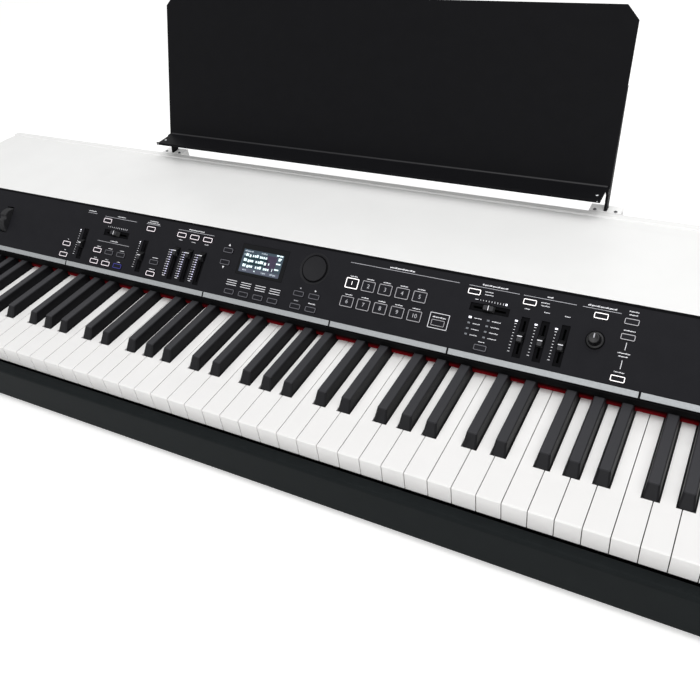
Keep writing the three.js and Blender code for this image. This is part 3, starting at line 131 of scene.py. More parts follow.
def surface(name, code, rough, metal=0.0, mottle=0.06, mottle_scale=60, grain=0.05, grain_scale=900,
            bump=0.0, bump_scale=1200, bump_reach=0.0002, coat=0.0, glow=0.0, sheen=0.0, specular=0.5,
            stretch=None):
    """Procedural finish with faint patches of colour, a fine grain in its roughness, and a fine bump."""
    material = bpy.data.materials.new(name)
    material.use_nodes = True
    tree = material.node_tree
    sockets = tree.nodes["Principled BSDF"].inputs
    sockets["Metallic"].default_value = metal
    sockets["Specular IOR Level"].default_value = specular
    where = tree.nodes.new("ShaderNodeTexCoord").outputs["Object"]
    drawn = where
    if stretch:
        pull = tree.nodes.new("ShaderNodeMapping")
        pull.inputs["Scale"].default_value = stretch
        tree.links.new(where, pull.inputs["Vector"])
        drawn = pull.outputs["Vector"]
    base = linear(code)
    ramp = tree.nodes.new("ShaderNodeValToRGB")
    stops = ((MOTTLE_FROM, 1 - mottle), (MOTTLE_TO, 1 + mottle))
    for element, (position, share) in zip(ramp.color_ramp.elements, stops):
        element.position = position
        element.color = tuple(min(1, value * share) for value in base[:3]) + (1,)
    tree.links.new(noise(tree, where, mottle_scale, MOTTLE_DETAIL), ramp.inputs["Fac"])
    tree.links.new(ramp.outputs["Color"], sockets["Base Color"])
    fine = noise(tree, drawn, grain_scale, GRAIN_DETAIL)
    smoothest, roughest = max(LEAST_ROUGHNESS, rough - grain), min(1, rough + grain)
    tree.links.new(remap(tree, fine, 0, 1, smoothest, roughest), sockets["Roughness"])
    if bump:
        lift = tree.nodes.new("ShaderNodeBump")
        lift.inputs["Strength"].default_value = bump
        lift.inputs["Distance"].default_value = bump_reach
        tree.links.new(noise(tree, drawn, bump_scale, BUMP_DETAIL), lift.inputs["Height"])
        tree.links.new(lift.outputs["Normal"], sockets["Normal"])
    if coat:
        sockets["Coat Weight"].default_value = coat
        sockets["Coat Roughness"].default_value = COAT_ROUGHNESS
    if glow:
        sockets["Emission Color"].default_value = base
        sockets["Emission Strength"].default_value = glow
    if sheen:
        sockets["Sheen Weight"].default_value = sheen
        sockets["Sheen Roughness"].default_value = SHEEN_ROUGHNESS
    return material


def part_of(tree, output, axis):
    """One axis of the object's own coordinates or normals."""
    parts = tree.nodes.new("ShaderNodeSeparateXYZ")
    tree.links.new(tree.nodes.new("ShaderNodeTexCoord").outputs[output], parts.inputs["Vector"])
    return parts.outputs[axis]


def shade_along(material, axis, start, end, share_at_end):
    """Paints light or shade evenly between two places along an axis, to a share of the colour at the end.
    """
    tree = material.node_tree
    base = tree.nodes["Principled BSDF"].inputs["Base Color"]
    scaled = tree.nodes.new("ShaderNodeVectorMath")
    scaled.operation = "SCALE"
    tree.links.new(base.links[0].from_socket, scaled.inputs[0])
    share = remap(tree, part_of(tree, "Object", axis), start, end, 1, share_at_end)
    tree.links.new(share, scaled.inputs["Scale"])
    tree.links.new(scaled.outputs["Vector"], base)


def satin_top(material, code):
    """Paints a lighter tone on the faces that look up, painted light on the tops, whatever the view."""
    tree = material.node_tree
    base = tree.nodes["Principled BSDF"].inputs["Base Color"]
    mix = tree.nodes.new("ShaderNodeMix")
    mix.data_type = "RGBA"
    mix.inputs[MIX_SECOND].default_value = linear(code)
    level = remap(tree, part_of(tree, "Normal", "Z"), LIT_TOP_FROM, LIT_TOP_TO, 0, 1)
    tree.links.new(level, mix.inputs[MIX_SHARE])
    tree.links.new(base.links[0].from_socket, mix.inputs[MIX_FIRST])
    tree.links.new(mix.outputs[MIX_RESULT], base)


cover_white = surface("cover_white", "efefee", 0.42, mottle=0.012, mottle_scale=18, bump=0.12,
                      bump_scale=2600, specular=0.3)
# Painted light: a lighter white than the cover's, for the brackets in the music rest's shadow
bracket_painted_light = surface("bracket_painted_light", "fbfbfa", 0.42, mottle=0.012, mottle_scale=18, specular=0.3)
case_black = surface("case_black", "1b1c1e", 0.5, bump=0.25, bump_scale=3000, specular=0.15)
panel_black = surface("panel_black", "212124", 0.5, mottle=0.05, bump=0.2, bump_scale=3600, specular=0.03)
rail_black = surface("rail_black", "1b1e1f", 0.5, mottle=0.05, bump=0.15, bump_scale=2600, specular=0.03)
tray_black = surface("tray_black", "101112", 0.6, bump=0.2, bump_scale=2200, specular=0.12)
# Near black: painted shade in the slider recesses, the wells of the dial and knob and the gap under the
# cover; also the dark colour of the trim strip's joints
recess_shade_and_joint_black = surface("recess_shade_and_joint_black", "08080a", 0.7, mottle=0.1, bump=0.1, bump_scale=3000, specular=0.05)
control_black = surface("control_black", "0f0f11", 0.36, bump=0.15, bump_scale=3000, specular=0.3)
dial_black = surface("dial_black", "252527", 0.5, mottle=0.05, bump=0.2, bump_scale=3600, specular=0.06)
fallboard_black = surface("fallboard_black", "0b0b0c", 0.6, bump=0.2, bump_scale=2200, specular=0.05)
# Painted highlight: a lighter copy of the caps' black, for a pad on each slider cap
cap_painted_highlight = surface("cap_painted_highlight", "222226", 0.35, mottle=0.1, mottle_scale=900, bump=0.1, bump_scale=3000,
                    specular=0.3)
button_black = surface("button_black", "121217", 0.5, bump=0.12, bump_scale=4000, specular=0.12)

# Painted light: the white keys get a little lighter towards the black keys, whose tops are painted lighter
NECK_START, NECK_END, NECK_PAINTED_LIGHT_SHARE = 40, 80, 1.12
BLACK_LIT_TOP = "39393c"
key_white = surface("key_white", "ecebea", 0.24, mottle=0.01, mottle_scale=30, grain=0.04, grain_scale=300,
                    coat=0.2, specular=0.3)
keys_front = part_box("keys_1_c_e_g_b")[0][1]
shade_along(key_white, "Y", keys_front + NECK_START * MM, keys_front + NECK_END * MM, NECK_PAINTED_LIGHT_SHARE)
key_black = surface("key_black", "131315", 0.42, mottle=0.1, mottle_scale=240, grain=0.08, grain_scale=1800,
                    bump=0.3, bump_scale=2400, specular=0.1)
# Painted light: the black keys' tops get a lighter tone than their sides
satin_top(key_black, BLACK_LIT_TOP)

# Painted shade: the red felt darkens towards the fallboard above it, in the shade under its edge
FELT_SHADE_START, FELT_SHADE_END, FELT_SHADE_SHARE = 1, 5.5, 0.06
felt_red = surface("felt_red", "7e0f18", 0.95, mottle=0.25, mottle_scale=700, bump=0.9, bump_scale=1500,
                   bump_reach=0.0006, specular=0.05)
felt_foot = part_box("key_felt")[0][2]
shade_along(felt_red, "Z", felt_foot + FELT_SHADE_START * MM, felt_foot + FELT_SHADE_END * MM,
            FELT_SHADE_SHARE)
felt_green = surface("felt_green", "3b4a3f", 0.95, mottle=0.2, mottle_scale=600, bump=0.9, bump_scale=1500,
                     bump_reach=0.0006, sheen=0.3, specular=0.1)

trim_silver = surface("trim_silver", "a3a6a8", 0.5, metal=0.6, mottle=0.05, mottle_scale=400, grain=0.12,
                      bump=0.35, bump_scale=1600, specular=0.3, stretch=(0.03, 1, 1))
sheet_steel = surface("sheet_steel", "8c9094", 0.38, metal=1.0, mottle=0.05, bump=0.15, bump_scale=900)
board_green = surface("board_green", "1f4a34", 0.5, mottle=0.12, mottle_scale=400)
board_black = surface("board_black", "0a0b0b", 0.6, mottle=0.12, mottle_scale=400, specular=0.05)
rubber = surface("rubber", "141414", 0.85, mottle=0.1, bump=0.4, bump_scale=1800, specular=0.2)
glass_dark = surface("glass_dark", "08090c", 0.12, mottle=0.02, grain=0.03, specular=0.15)
socket_black = surface("socket_black", "141517", 0.45, bump=0.2, bump_scale=2600, specular=0.3)
nut_metal = surface("nut_metal", "c4c6c8", 0.25, metal=1.0, mottle=0.03, bump=0.1, bump_scale=1800)
rest_black = surface("rest_black", "131315", 0.5, mottle=0.05, bump=0.3, bump_scale=2800, specular=0.04)
# A lighter copy of the rest's black: painted highlight along the bend of the shelf
rest_bend_painted_highlight = surface("rest_bend_painted_highlight", "1c1c1e", 0.4, mottle=0.05, bump=0.2, bump_scale=2800, specular=0.25)
wheel_grey = surface("wheel_grey", "1d1d1f", 0.6, mottle=0.08, bump=0.35, bump_scale=2400, specular=0.3)
screw_dark = surface("screw_dark", "58595c", 0.4, metal=0.6, mottle=0.05, bump=0.1, bump_scale=1800)
# White print with a faint painted glow, though print is no lamp
ink_white_painted_glow = surface("ink_white_painted_glow", "e4e4e8", 0.5, mottle=0.05, glow=0.1, specular=0.1)
ink_grey = surface("ink_grey", "b9b9be", 0.5, mottle=0.08, specular=0.1)
ring_lit = surface("ring_lit", "f3e9ee", 0.4, mottle=0.03, glow=0.35)
ring_bright = surface("ring_bright", "fbf6f6", 0.4, mottle=0.02, glow=0.8)
ring_grey = surface("ring_grey", "a5a3a7", 0.4, mottle=0.05, glow=0.05)
ring_dim = surface("ring_dim", "5a5a60", 0.4, mottle=0.08)
ring_blue = surface("ring_blue", "2e2f86", 0.4, mottle=0.08, glow=0.2)
light_on = surface("light_on", "f4f4ff", 0.3, mottle=0.02, glow=1.0)
light_soft = surface("light_soft", "cfcdea", 0.3, mottle=0.04, glow=0.5)
light_off = surface("light_off", "6d7076", 0.3, mottle=0.05)
screen_back = surface("screen_back", "343f48", 0.3, mottle=0.25, mottle_scale=90, glow=0.7, specular=0.1)
screen_side = surface("screen_side", "352f3f", 0.3, mottle=0.25, mottle_scale=300, glow=0.6, specular=0.1)
screen_foot = surface("screen_foot", "474a56", 0.3, mottle=0.15, mottle_scale=200, glow=0.6, specular=0.1)
screen_deep = surface("screen_deep", "14292d", 0.3, mottle=0.15, mottle_scale=200, glow=0.6, specular=0.1)
screen_text = surface("screen_text", "d8ebee", 0.3, mottle=0.05, mottle_scale=500, glow=0.65, specular=0.1)
screen_label = surface("screen_label", "a3adb6", 0.3, mottle=0.05, mottle_scale=500, glow=0.4, specular=0.1)

# Finish of each CAD node, and the width of its rounded edges in millimetres
WELD_REACH = 0.01
EDGE_SEGMENTS = 2
EDGE_ANGLE = 35
KEY_EDGE, SLIDER_EDGE, BUTTON_EDGE = 0.35, 0.3, 0.15
KEY_SECTIONS = (1, 2, 3, 4)
SLIDER_NODES = (
    "slider_volume", "slider_dynamics", "slider_touch", "slider_part_1", "slider_part_2", "slider_part_3",
    "slider_reverb", "slider_eq_low", "slider_eq_mid", "slider_eq_high",
)
BUTTON_NODES = (
    "switch_buttons", "dynamics_buttons", "touch_buttons", "part_buttons", "display_buttons",
    "cursor_buttons", "sound_buttons", "effect_buttons", "system_buttons",
)
CAD_LOOKS = (
    ("bottom_tray", tray_black, 0.4), ("front_rail", rail_black, 0), ("left_cheek", case_black, 0.5),
    ("right_cheek", case_black, 0.5), ("top_cover", cover_white, 0), ("rear_panel", rail_black, 0),
    ("control_panel", panel_black, 0), ("fallboard", fallboard_black, 0.2),
    ("trim_strip", trim_silver, 0.25), ("key_felt", felt_red, 0.4), ("key_frame", sheet_steel, 0),
    ("key_stop_felt", felt_green, 0.4), ("panel_board", board_black, 0), ("main_board", board_green, 0),
    ("power_supply", sheet_steel, 0), ("display_window", glass_dark, 0), ("socket_board", socket_black, 0),
    ("mains_inlet", socket_black, 0), ("foot_front_left", rubber, 0.6), ("foot_front_right", rubber, 0.6),
    ("foot_back_left", rubber, 0.6), ("foot_back_right", rubber, 0.6),
    ("rest_bracket_left", bracket_painted_light, 0.4), ("rest_bracket_right", bracket_painted_light, 0.4),
    ("music_rest", rest_black, 0.25), ("value_dial", control_black, 0), ("tone_knob", control_black, 0),
    ("pitch_wheel", control_black, 0.3), ("power_switch", socket_black, 0.3),
)


def finish_node(name, material, edge_width):
    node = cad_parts[name]
    node.data.materials.clear()
    node.data.materials.append(material)
    if edge_width:
        weld = node.modifiers.new("weld", "WELD")
        weld.merge_threshold = WELD_REACH * MM
        edge = node.modifiers.new("edge", "BEVEL")
        edge.width = edge_width * MM
        edge.segments = EDGE_SEGMENTS
        edge.limit_method = "ANGLE"
        edge.angle_limit = math.radians(EDGE_ANGLE)
        edge.use_clamp_overlap = False
        edge.harden_normals = False


for section in KEY_SECTIONS:
    for letters in ("c_e_g_b", "d_f_a"):
        finish_node(f"keys_{section}_{letters}", key_white, KEY_EDGE)
    finish_node(f"keys_{section}_sharps", key_black, KEY_EDGE)
for name, material, edge_width in CAD_LOOKS:
    finish_node(name, material, edge_width)
for name in SLIDER_NODES:
    finish_node(name, control_black, SLIDER_EDGE)
for name in BUTTON_NODES:
    finish_node(name, button_black, BUTTON_EDGE)


# Mesh shapes, drawn in millimetres
CORNER_STEPS = 4
LEAST_RADIUS = 0.2


def mesh_object(name, mesh, matrix, material, smooth=False):
    """Object from a mesh that is drawn in the given frame."""
    bmesh.ops.transform(mesh, matrix=matrix, verts=mesh.verts)
    bmesh.ops.recalc_face_normals(mesh, faces=mesh.faces)
    data = bpy.data.meshes.new(name)
    mesh.to_mesh(data)
    mesh.free()
    for face in data.polygons:
        face.use_smooth = smooth
    item = bpy.data.objects.new(name, data)
    scene.collection.objects.link(item)
    data.materials.append(material)
    return item


def make(name, mesh, matrix, material, body, smooth=False):
    """Piece that rides on a body, from a mesh that is drawn in the given frame."""
    item = mesh_object(name, mesh, matrix, material, smooth)
    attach(item, body)
    return item


def bridge(mesh, rows, closed=False):
    """Joins rows of as many points each; a closed set joins its last row to its first."""
    for near, far in zip(rows, rows[1:] + rows[:1] if closed else rows[1:]):
        for i in range(len(near)):
            j = (i + 1) % len(near)
            mesh.faces.new((near[i], near[j], far[j], far[i]))


def fan(mesh, row, tip):
    """Closes a row of points with triangles to one more point."""
    middle = mesh.verts.new(tip)
    for i in range(len(row)):
        mesh.faces.new((row[i], row[(i + 1) % len(row)], middle))


def arc(x, y, radius, start, sweep, steps):
    """Points along an arc with both its ends, from angles in degrees."""
    angles = [math.radians(start + sweep * i / steps) for i in range(steps + 1)]
    return [(x + radius * math.cos(angle), y + radius * math.sin(angle)) for angle in angles]


def round_outline(x, y, radius, steps):
    return arc(x, y, radius, 0, 360, steps)[:-1]


def soft_rectangle(x, y, width, height, radius):
    points = []
    for side_x, side_y, start in ((1, 1, 0), (-1, 1, 90), (-1, -1, 180), (1, -1, 270)):
        corner_x = x + side_x * (width / 2 - radius)
        corner_y = y + side_y * (height / 2 - radius)
        points += arc(corner_x, corner_y, radius, start, 90, CORNER_STEPS)
    return points


def rectangle(x, y, half_width, half_height):
    return [(x + side_x * half_width, y + side_y * half_height)
            for side_x, side_y in ((-1, -1), (1, -1), (1, 1), (-1, 1))]


def capped(mesh, rows):
    """Closes two rows of points into a prism."""
    mesh.faces.new(rows[1])
    mesh.faces.new(rows[0][::-1])
    bridge(mesh, rows)


def prism(mesh, outline, low, high):
    """Adds an upright prism of a closed outline."""
    capped(mesh, [[mesh.verts.new((x, y, z)) for x, y in outline] for z in (low, high)])


def side_prism(mesh, outline, left, right):
    """Adds a prism of an outline of depth and height, across the width."""
    capped(mesh, [[mesh.verts.new((x, y, z)) for y, z in outline] for x in (left, right)])


def hollow_prism(mesh, outer, inner, low, high):
    """Adds an upright prism with a hole, from two outlines of as many points."""
    levels = ((outer, low), (outer, high), (inner, high), (inner, low))
    bridge(mesh, [[mesh.verts.new((x, y, z)) for x, y in outline] for outline, z in levels], closed=True)


def bar(mesh, left, right, front, back, low, high):
    prism(mesh, [(left, front), (right, front), (right, back), (left, back)], low, high)


def block(mesh, x, y, half_width, half_height, low, high):
    prism(mesh, rectangle(x, y, half_width, half_height), low, high)


def ring(mesh, x, y, width, height, radius, line, low, high):
    """Adds a raised rounded frame of the given line width."""
    outer = soft_rectangle(x, y, width, height, radius)
    inner_radius = max(LEAST_RADIUS, radius - line)
    inner = soft_rectangle(x, y, width - 2 * line, height - 2 * line, inner_radius)
    hollow_prism(mesh, outer, inner, low, high)


def turned_rows(mesh, profile, x, y, steps):
    return [[mesh.verts.new((*point, height)) for point in round_outline(x, y, radius, steps)]
            for radius, height in profile]


def lathe(mesh, profile, x, y, steps):
    """Adds a turned solid from (radius, height) pairs, the first and last of them on the axis."""
    rows = turned_rows(mesh, profile[1:-1], x, y, steps)
    bridge(mesh, rows)
    fan(mesh, rows[0], (x, y, profile[0][1]))
    fan(mesh, rows[-1], (x, y, profile[-1][1]))


# Columns of the panel, across from the middle of the keyboard
SWITCH_X = -344.5
VOLUME_X, VOLUME_SCALE_X = -318, -328
DYNAMICS_BUTTON_X, DYNAMICS_X = -286.5, -266
CURVE_X = (-288.2, -267.8, -247.4)
TRANSPOSE_X = -211.5
TOUCH_X, TOUCH_SCALE_X = -214, -223
SPLIT_X = -191.3
PART_X = (-161, -140.6, -120.2)
PART_SCALE_X = (-171.7, -151.2, -130.5)
PAGE_X = -86
BUTTON_PITCH = 20.7
FUNCTION_X = [-67.7 + BUTTON_PITCH * i for i in range(4)]
FUNCTION_LINES_X = [-68.2 + BUTTON_PITCH * i for i in range(4)]
CURSOR_X = (26, 46.5)
NUMBER_X = [88.4 + BUTTON_PITCH * i for i in range(5)]
FAVOURITE_X = 199
REVERB_BUTTON_X, REVERB_X = 228.9, 249.2
TYPE_LIGHT_X, TYPE_LABEL_X = (231.5, 251.2), (240, 260)
TYPE_BUTTON_X = 250.3
EQ_BUTTON_X = 288.3
EQ_X = (288.3, 308.9, 329.5)
EQ_SCALE_X = (279.6, 300, 320.8)
EQ_LABEL_X = (287.3, 307.6, 328.4)
TONE_X = 359.4
SYSTEM_X = 388.4

# Rows of the panel, up the slope from its lower edge
ROW_LOW, ROW_MID, ROW_TOP = 6.8, 22.1, 63.7
SLIDER_ROW, PART_CAP_ROW, ACROSS_ROW = 26.5, 41.5, 48.3
NUMBER_ROWS = (46.3, 24.8)
PAGE_ROWS = (55.9, 40.7)
SYSTEM_ROW = 48.3
TYPE_ROWS = (36.45, 30.4, 24.35, 18.3)

# Light frame round the top of each button
BUTTON_RISE = 0.9
FRAME_LOW, FRAME_HIGH = BUTTON_RISE - 0.1, BUTTON_RISE + 0.12
FRAME_WIDTH, FRAME_HEIGHT, FRAME_RADIUS, FRAME_LINE = 13.6, 6.0, 1.2, 0.75
BUTTONS = {
    "switch_buttons": [(SWITCH_X, ROW_LOW, ring_lit), (SWITCH_X, ROW_MID, ring_lit)],
    "dynamics_buttons": [
        (DYNAMICS_BUTTON_X, ROW_TOP, ring_lit), (CURVE_X[0], ROW_MID, ring_lit),
        (CURVE_X[1], ROW_MID, ring_dim), (CURVE_X[2], ROW_MID, ring_dim), (CURVE_X[0], ROW_LOW, ring_lit),
        (CURVE_X[1], ROW_LOW, ring_lit), (CURVE_X[2], ROW_LOW, ring_blue),
    ],
    "touch_buttons": [
        (TRANSPOSE_X, ROW_TOP, ring_lit), (SPLIT_X, ROW_MID, ring_dim), (SPLIT_X, ROW_LOW, ring_lit),
    ],
    "part_buttons": [(x, ROW_TOP, ring_lit) for x in PART_X],
    "display_buttons": [(PAGE_X, row, ring_dim) for row in PAGE_ROWS]
    + [(x, ROW_LOW, ring_dim) for x in FUNCTION_X],
    "cursor_buttons": [(x, row, ring_dim) for row in (ROW_MID, ROW_LOW) for x in CURSOR_X],
    "effect_buttons": [
        (REVERB_BUTTON_X, ROW_TOP, ring_bright), (TYPE_BUTTON_X, ROW_LOW, ring_dim),
        (EQ_BUTTON_X, ROW_TOP, ring_bright), (TONE_X, ROW_TOP, ring_bright),
    ],
    "system_buttons": [
        (SYSTEM_X, ROW_TOP, ring_grey), (SYSTEM_X, SYSTEM_ROW, ring_grey), (SYSTEM_X, ROW_LOW, ring_bright),
    ],
}
for body, places in BUTTONS.items():
    by_look = {}
    for x, row, look in places:
        by_look.setdefault(look, []).append((x, row))
    for look, same in by_look.items():
        mesh = bmesh.new()
        for x, row in same:
            ring(mesh, x, row, FRAME_WIDTH, FRAME_HEIGHT, FRAME_RADIUS, FRAME_LINE, FRAME_LOW, FRAME_HIGH)
        make(f"{body}_{look.name}", mesh, PANEL, look, body)

# Numbered sound buttons, the first of them lit, and the favourite button
NUMBER_WIDTH, NUMBER_HEIGHT, NUMBER_RADIUS = 15.8, 12.0, 1.1
FIRST_LINE, NUMBER_LINE = 0.9, 0.7
NUMBER_PLACES = [(x, row) for row in NUMBER_ROWS for x in NUMBER_X]
# The favourite button's frame and the printed one round it: middle, row, width, height, radius and line
FAVOURITE_RING = (FAVOURITE_X, 22.7, 14.8, 6.8, 0.9, 0.6)
FAVOURITE_FRAME = (FAVOURITE_X, 25, 22, 17, 0.8, 0.6)
mesh = bmesh.new()
ring(mesh, *NUMBER_PLACES[0], NUMBER_WIDTH, NUMBER_HEIGHT, NUMBER_RADIUS, FIRST_LINE, FRAME_LOW, FRAME_HIGH)
make("number_ring_first", mesh, PANEL, ring_bright, "sound_buttons")
mesh = bmesh.new()
for x, row in NUMBER_PLACES[1:]:
    ring(mesh, x, row, NUMBER_WIDTH, NUMBER_HEIGHT, NUMBER_RADIUS, NUMBER_LINE, FRAME_LOW, FRAME_HIGH)
ring(mesh, *FAVOURITE_RING, FRAME_LOW, FRAME_HIGH)
make("number_rings", mesh, PANEL, ring_grey, "sound_buttons")

# Numbers on the sound buttons
DIGIT_SIZE = 6.4
DIGIT_HALF_THICKNESS = 0.05


def number(value, x, row, material):
    """Prints a number on its button."""
    name = f"number_{value}"
    curve = bpy.data.curves.new(name, "FONT")
    curve.body = str(value)
    curve.size = DIGIT_SIZE
    curve.extrude = DIGIT_HALF_THICKNESS
    curve.align_x = "CENTER"
    curve.align_y = "CENTER"
    source = bpy.data.objects.new(name, curve)
    scene.collection.objects.link(source)
    bpy.context.view_layer.update()
    data = bpy.data.meshes.new_from_object(source)
    bpy.data.objects.remove(source)
    mesh = bmesh.new()
    mesh.from_mesh(data)
    bmesh.ops.translate(mesh, verts=mesh.verts, vec=(x, row, BUTTON_RISE + DIGIT_HALF_THICKNESS))
    make(name, mesh, PANEL, material, "sound_buttons")


for i, (x, row) in enumerate(NUMBER_PLACES):
    number(i + 1, x, row, ink_grey if i else ring_bright)

# Printed marks on the panel: rules, scales and plain uneven blocks in the places of words
INK_LOW, INK_HIGH = -0.02, 0.06
RULE_HALF_HEIGHT = 0.25
# Blocks of a mark in the place of a word, as shares of its cell: width, low edge and high edge
BLOCK_SHARES = (
    (0.82, 0, 1), (0.6, 0, 0.72), (0.84, 0, 0.72), (0.42, 0, 1), (0.84, 0, 0.72), (0.7, 0, 0.72),
    (0.84, -0.2, 0.72),
)
CELL_SHARE, BLOCK_STRIDE = 0.8, 3
# Rules: left end, right end and row
RULES = (
    (-325.5, -309, 70.4), (-293.7, -239, 69.2), (-293.7, -239, 35.3), (-222, -199, 70), (-169, -113, 70.2),
    (79.5, 210.5, 70), (221.4, 275.9, 70), (280, 334, 70), (340, 377, 70),
)
# Marks in the places of words: middle, row, width and height
LABELS = (
    (SWITCH_X, 13.4, 2.4, 1.1), (SWITCH_X, 28.6, 2.4, 1.1),
    (VOLUME_X, 73, 13, 1.1),
    (-265.5, 71.9, 14, 1.1), (-265.5, 37.9, 13, 1.1),
    (-210.5, 71.9, 20, 1.1), (-210.5, 74.3, 14, 1.1),
    (SPLIT_X, 12.8, 9, 1.1), (SPLIT_X, 28, 9, 1.1),
    (-141, 72.6, 24, 1.3),
    (46, 13.7, 9.5, 1.1),
    (143, 72.9, 30, 1.6), (FAVOURITE_X, 29, 15, 1.4),
    (249.5, 72.9, 28, 1.5), (244.6, 66, 9, 1), (245.2, 62.9, 9, 1), (TYPE_BUTTON_X, 13, 7, 0.9),
    (307, 72.7, 6, 1.5), (303.8, 66, 9, 1), (304.4, 62.9, 9, 1),
    (358.5, 72.8, 28, 1.5),
    (SYSTEM_X, 73.9, 9, 1.1), (SYSTEM_X, 70.6, 8, 1.1), (SYSTEM_X, 54.8, 11, 1.2),
    (SYSTEM_X, 32.2, 12, 1.1), (SYSTEM_X, 29, 9, 1.1), (SYSTEM_X, 13.4, 10, 1.1),
    *((x, 27.5, 7, 0.9) for x in CURVE_X), *((x, 12.2, 5, 0.9) for x in CURVE_X),
    *((x, 57.4, 6, 0.9) for x in PART_X),
    *((x, row + 8.4, 9, 1.2) for x, row in NUMBER_PLACES),
    *((x, 56.6, 5.6, 1) for x in EQ_LABEL_X),
    *((TYPE_LABEL_X[0], row, 8, 1) for row in TYPE_ROWS),
    *((TYPE_LABEL_X[1], row, 9.5, 1) for row in TYPE_ROWS),
)
# Other marks, the second and third of which join the system buttons' names: middle, row, half sizes
OTHER_MARKS = ((233.3, 56.3, 1.7, 0.3), (SYSTEM_X, 39.2, 0.3, 3.8), (SYSTEM_X, 20.9, 0.3, 4.3))
# Arrows by the page and cursor buttons: tip, middle of the base, and half the base's width
ARROWS = ((-86.6, 64.4, -86.6, 61.7, 1.6), (-87, 33, -87, 35.7, 1.6), (47.7, 28.9, 45.5, 28.9, 1.1))
# Label and arrow of the left cursor buttons, in the greyer ink of the rules
GREY_LABEL = (25, 13.7, 6, 1.1)
GREY_ARROW = (25, 28.9, 27, 28.9, 1)
# Scales beside the sliders that run up the slope: middle, low end, high end and count
SCALES = (
    (VOLUME_SCALE_X, 10.6, 42, 11), (TOUCH_SCALE_X, 10.8, 42, 11),
    *((x, 10.3, 39.4, 10) for x in EQ_SCALE_X),
)
TICK_WIDTH, END_TICK_WIDTH, TICK_HALF_HEIGHT = 1.5, 2.25, 0.28
# Scales above the sliders that run across, whose ticks grow: left end, length and count
ACROSS_SCALES = ((-282.5, 32, 11), (237.5, 27.8, 10))
ACROSS_SCALE_ROW, ACROSS_TICK_HALF_WIDTH = 56.3, 0.3
ACROSS_TICK_HALF_HEIGHT, ACROSS_TICK_GROWTH = 0.5, 0.06
# Groups of three lines over the function buttons
LINE_ROWS = (15.3, 18.1, 20.9)
LINE_HALF_LENGTH, LINE_HALF_HEIGHT = 7.2, 0.34


def mark(mesh, x, row, half_width, half_height):
    block(mesh, x, row, half_width, half_height, INK_LOW, INK_HIGH)


def blocks(mesh, left, right, row, height, low, high, seed):
    """Adds plain blocks of uneven width and height, none of them a letter, in the place of a word."""
    count = max(1, round((right - left) / (height * CELL_SHARE)))
    step = (right - left) / count
    for k in range(count):
        start = left + k * step
        width, base, top = BLOCK_SHARES[(seed + BLOCK_STRIDE * k) % len(BLOCK_SHARES)]
        bar(mesh, start, start + width * step, row + (base - 0.5) * height, row + (top - 0.5) * height,
            low, high)


def label(mesh, x, row, width, height):
    """Adds the printed blocks of one word."""
    blocks(mesh, x - width / 2, x + width / 2, row, height, INK_LOW, INK_HIGH, round(abs(x) + row))


def arrow(mesh, tip_x, tip_row, base_x, base_row, half_width):
    """Adds a triangle that points along or across the panel."""
    side_x, side_row = (half_width, 0) if tip_x == base_x else (0, half_width)
    outline = [(tip_x, tip_row), (base_x - side_x, base_row - side_row),
               (base_x + side_x, base_row + side_row)]
    prism(mesh, outline, INK_LOW, INK_HIGH)


def panel_marks():
    marks = bmesh.new()
    for place in LABELS:
        label(marks, *place)
    for x, low, high, count in SCALES:
        for k in range(count):
            width = END_TICK_WIDTH if k in (0, count - 1) else TICK_WIDTH
            mark(marks, x, low + (high - low) * k / (count - 1), width / 2, TICK_HALF_HEIGHT)
    for left, length, count in ACROSS_SCALES:
        for k in range(count):
            mark(marks, left + length * k / (count - 1), ACROSS_SCALE_ROW, ACROSS_TICK_HALF_WIDTH,
                 ACROSS_TICK_HALF_HEIGHT + ACROSS_TICK_GROWTH * k)
    for place in OTHER_MARKS:
        mark(marks, *place)
    ring(marks, *FAVOURITE_FRAME, INK_LOW, INK_HIGH)
    for x in FUNCTION_LINES_X:
        for row in LINE_ROWS:
            mark(marks, x, row, LINE_HALF_LENGTH, LINE_HALF_HEIGHT)
    for place in ARROWS:
        arrow(marks, *place)
    make("panel_marks", marks, PANEL, ink_white_painted_glow, "case")


def panel_rules():
    rules = bmesh.new()
    for left, right, row in RULES:
        mark(rules, (left + right) / 2, row, (right - left) / 2, RULE_HALF_HEIGHT)
    arrow(rules, *GREY_ARROW)
    label(rules, *GREY_LABEL)
    make("panel_rules", rules, PANEL, ink_grey, "case")


panel_marks()
panel_rules()

# Rows of light beside the part sliders, with a tick beside each light and a foot below
LIGHT_HIGH = 0.1
PART_LIGHT_COUNT, PART_LIGHT_LOW, PART_LIGHT_SPAN = 11, 11.4, 31
PART_LIGHT_OFFSET, PART_LIGHT_HALF_WIDTH, PART_LIGHT_HALF_HEIGHT = 2.2, 1.2, 0.45
PART_TICK_HALF_WIDTH = 1.1
PART_FOOT_OFFSET, PART_FOOT_ROW, PART_FOOT_HALF_WIDTH, PART_FOOT_HALF_HEIGHT = 0.6, 8.8, 2, 0.4
lights = bmesh.new()
ticks = bmesh.new()
for x in PART_SCALE_X:
    for k in range(PART_LIGHT_COUNT):
        row = PART_LIGHT_LOW + PART_LIGHT_SPAN * k / (PART_LIGHT_COUNT - 1)
        block(lights, x + PART_LIGHT_OFFSET, row, PART_LIGHT_HALF_WIDTH, PART_LIGHT_HALF_HEIGHT, INK_LOW,
              LIGHT_HIGH)
        mark(ticks, x - PART_TICK_HALF_WIDTH, row, PART_TICK_HALF_WIDTH, RULE_HALF_HEIGHT)
    mark(ticks, x + PART_FOOT_OFFSET, PART_FOOT_ROW, PART_FOOT_HALF_WIDTH, PART_FOOT_HALF_HEIGHT)
make("part_lights", lights, PANEL, light_soft, "case")
make("part_ticks", ticks, PANEL, ink_white_painted_glow, "case")

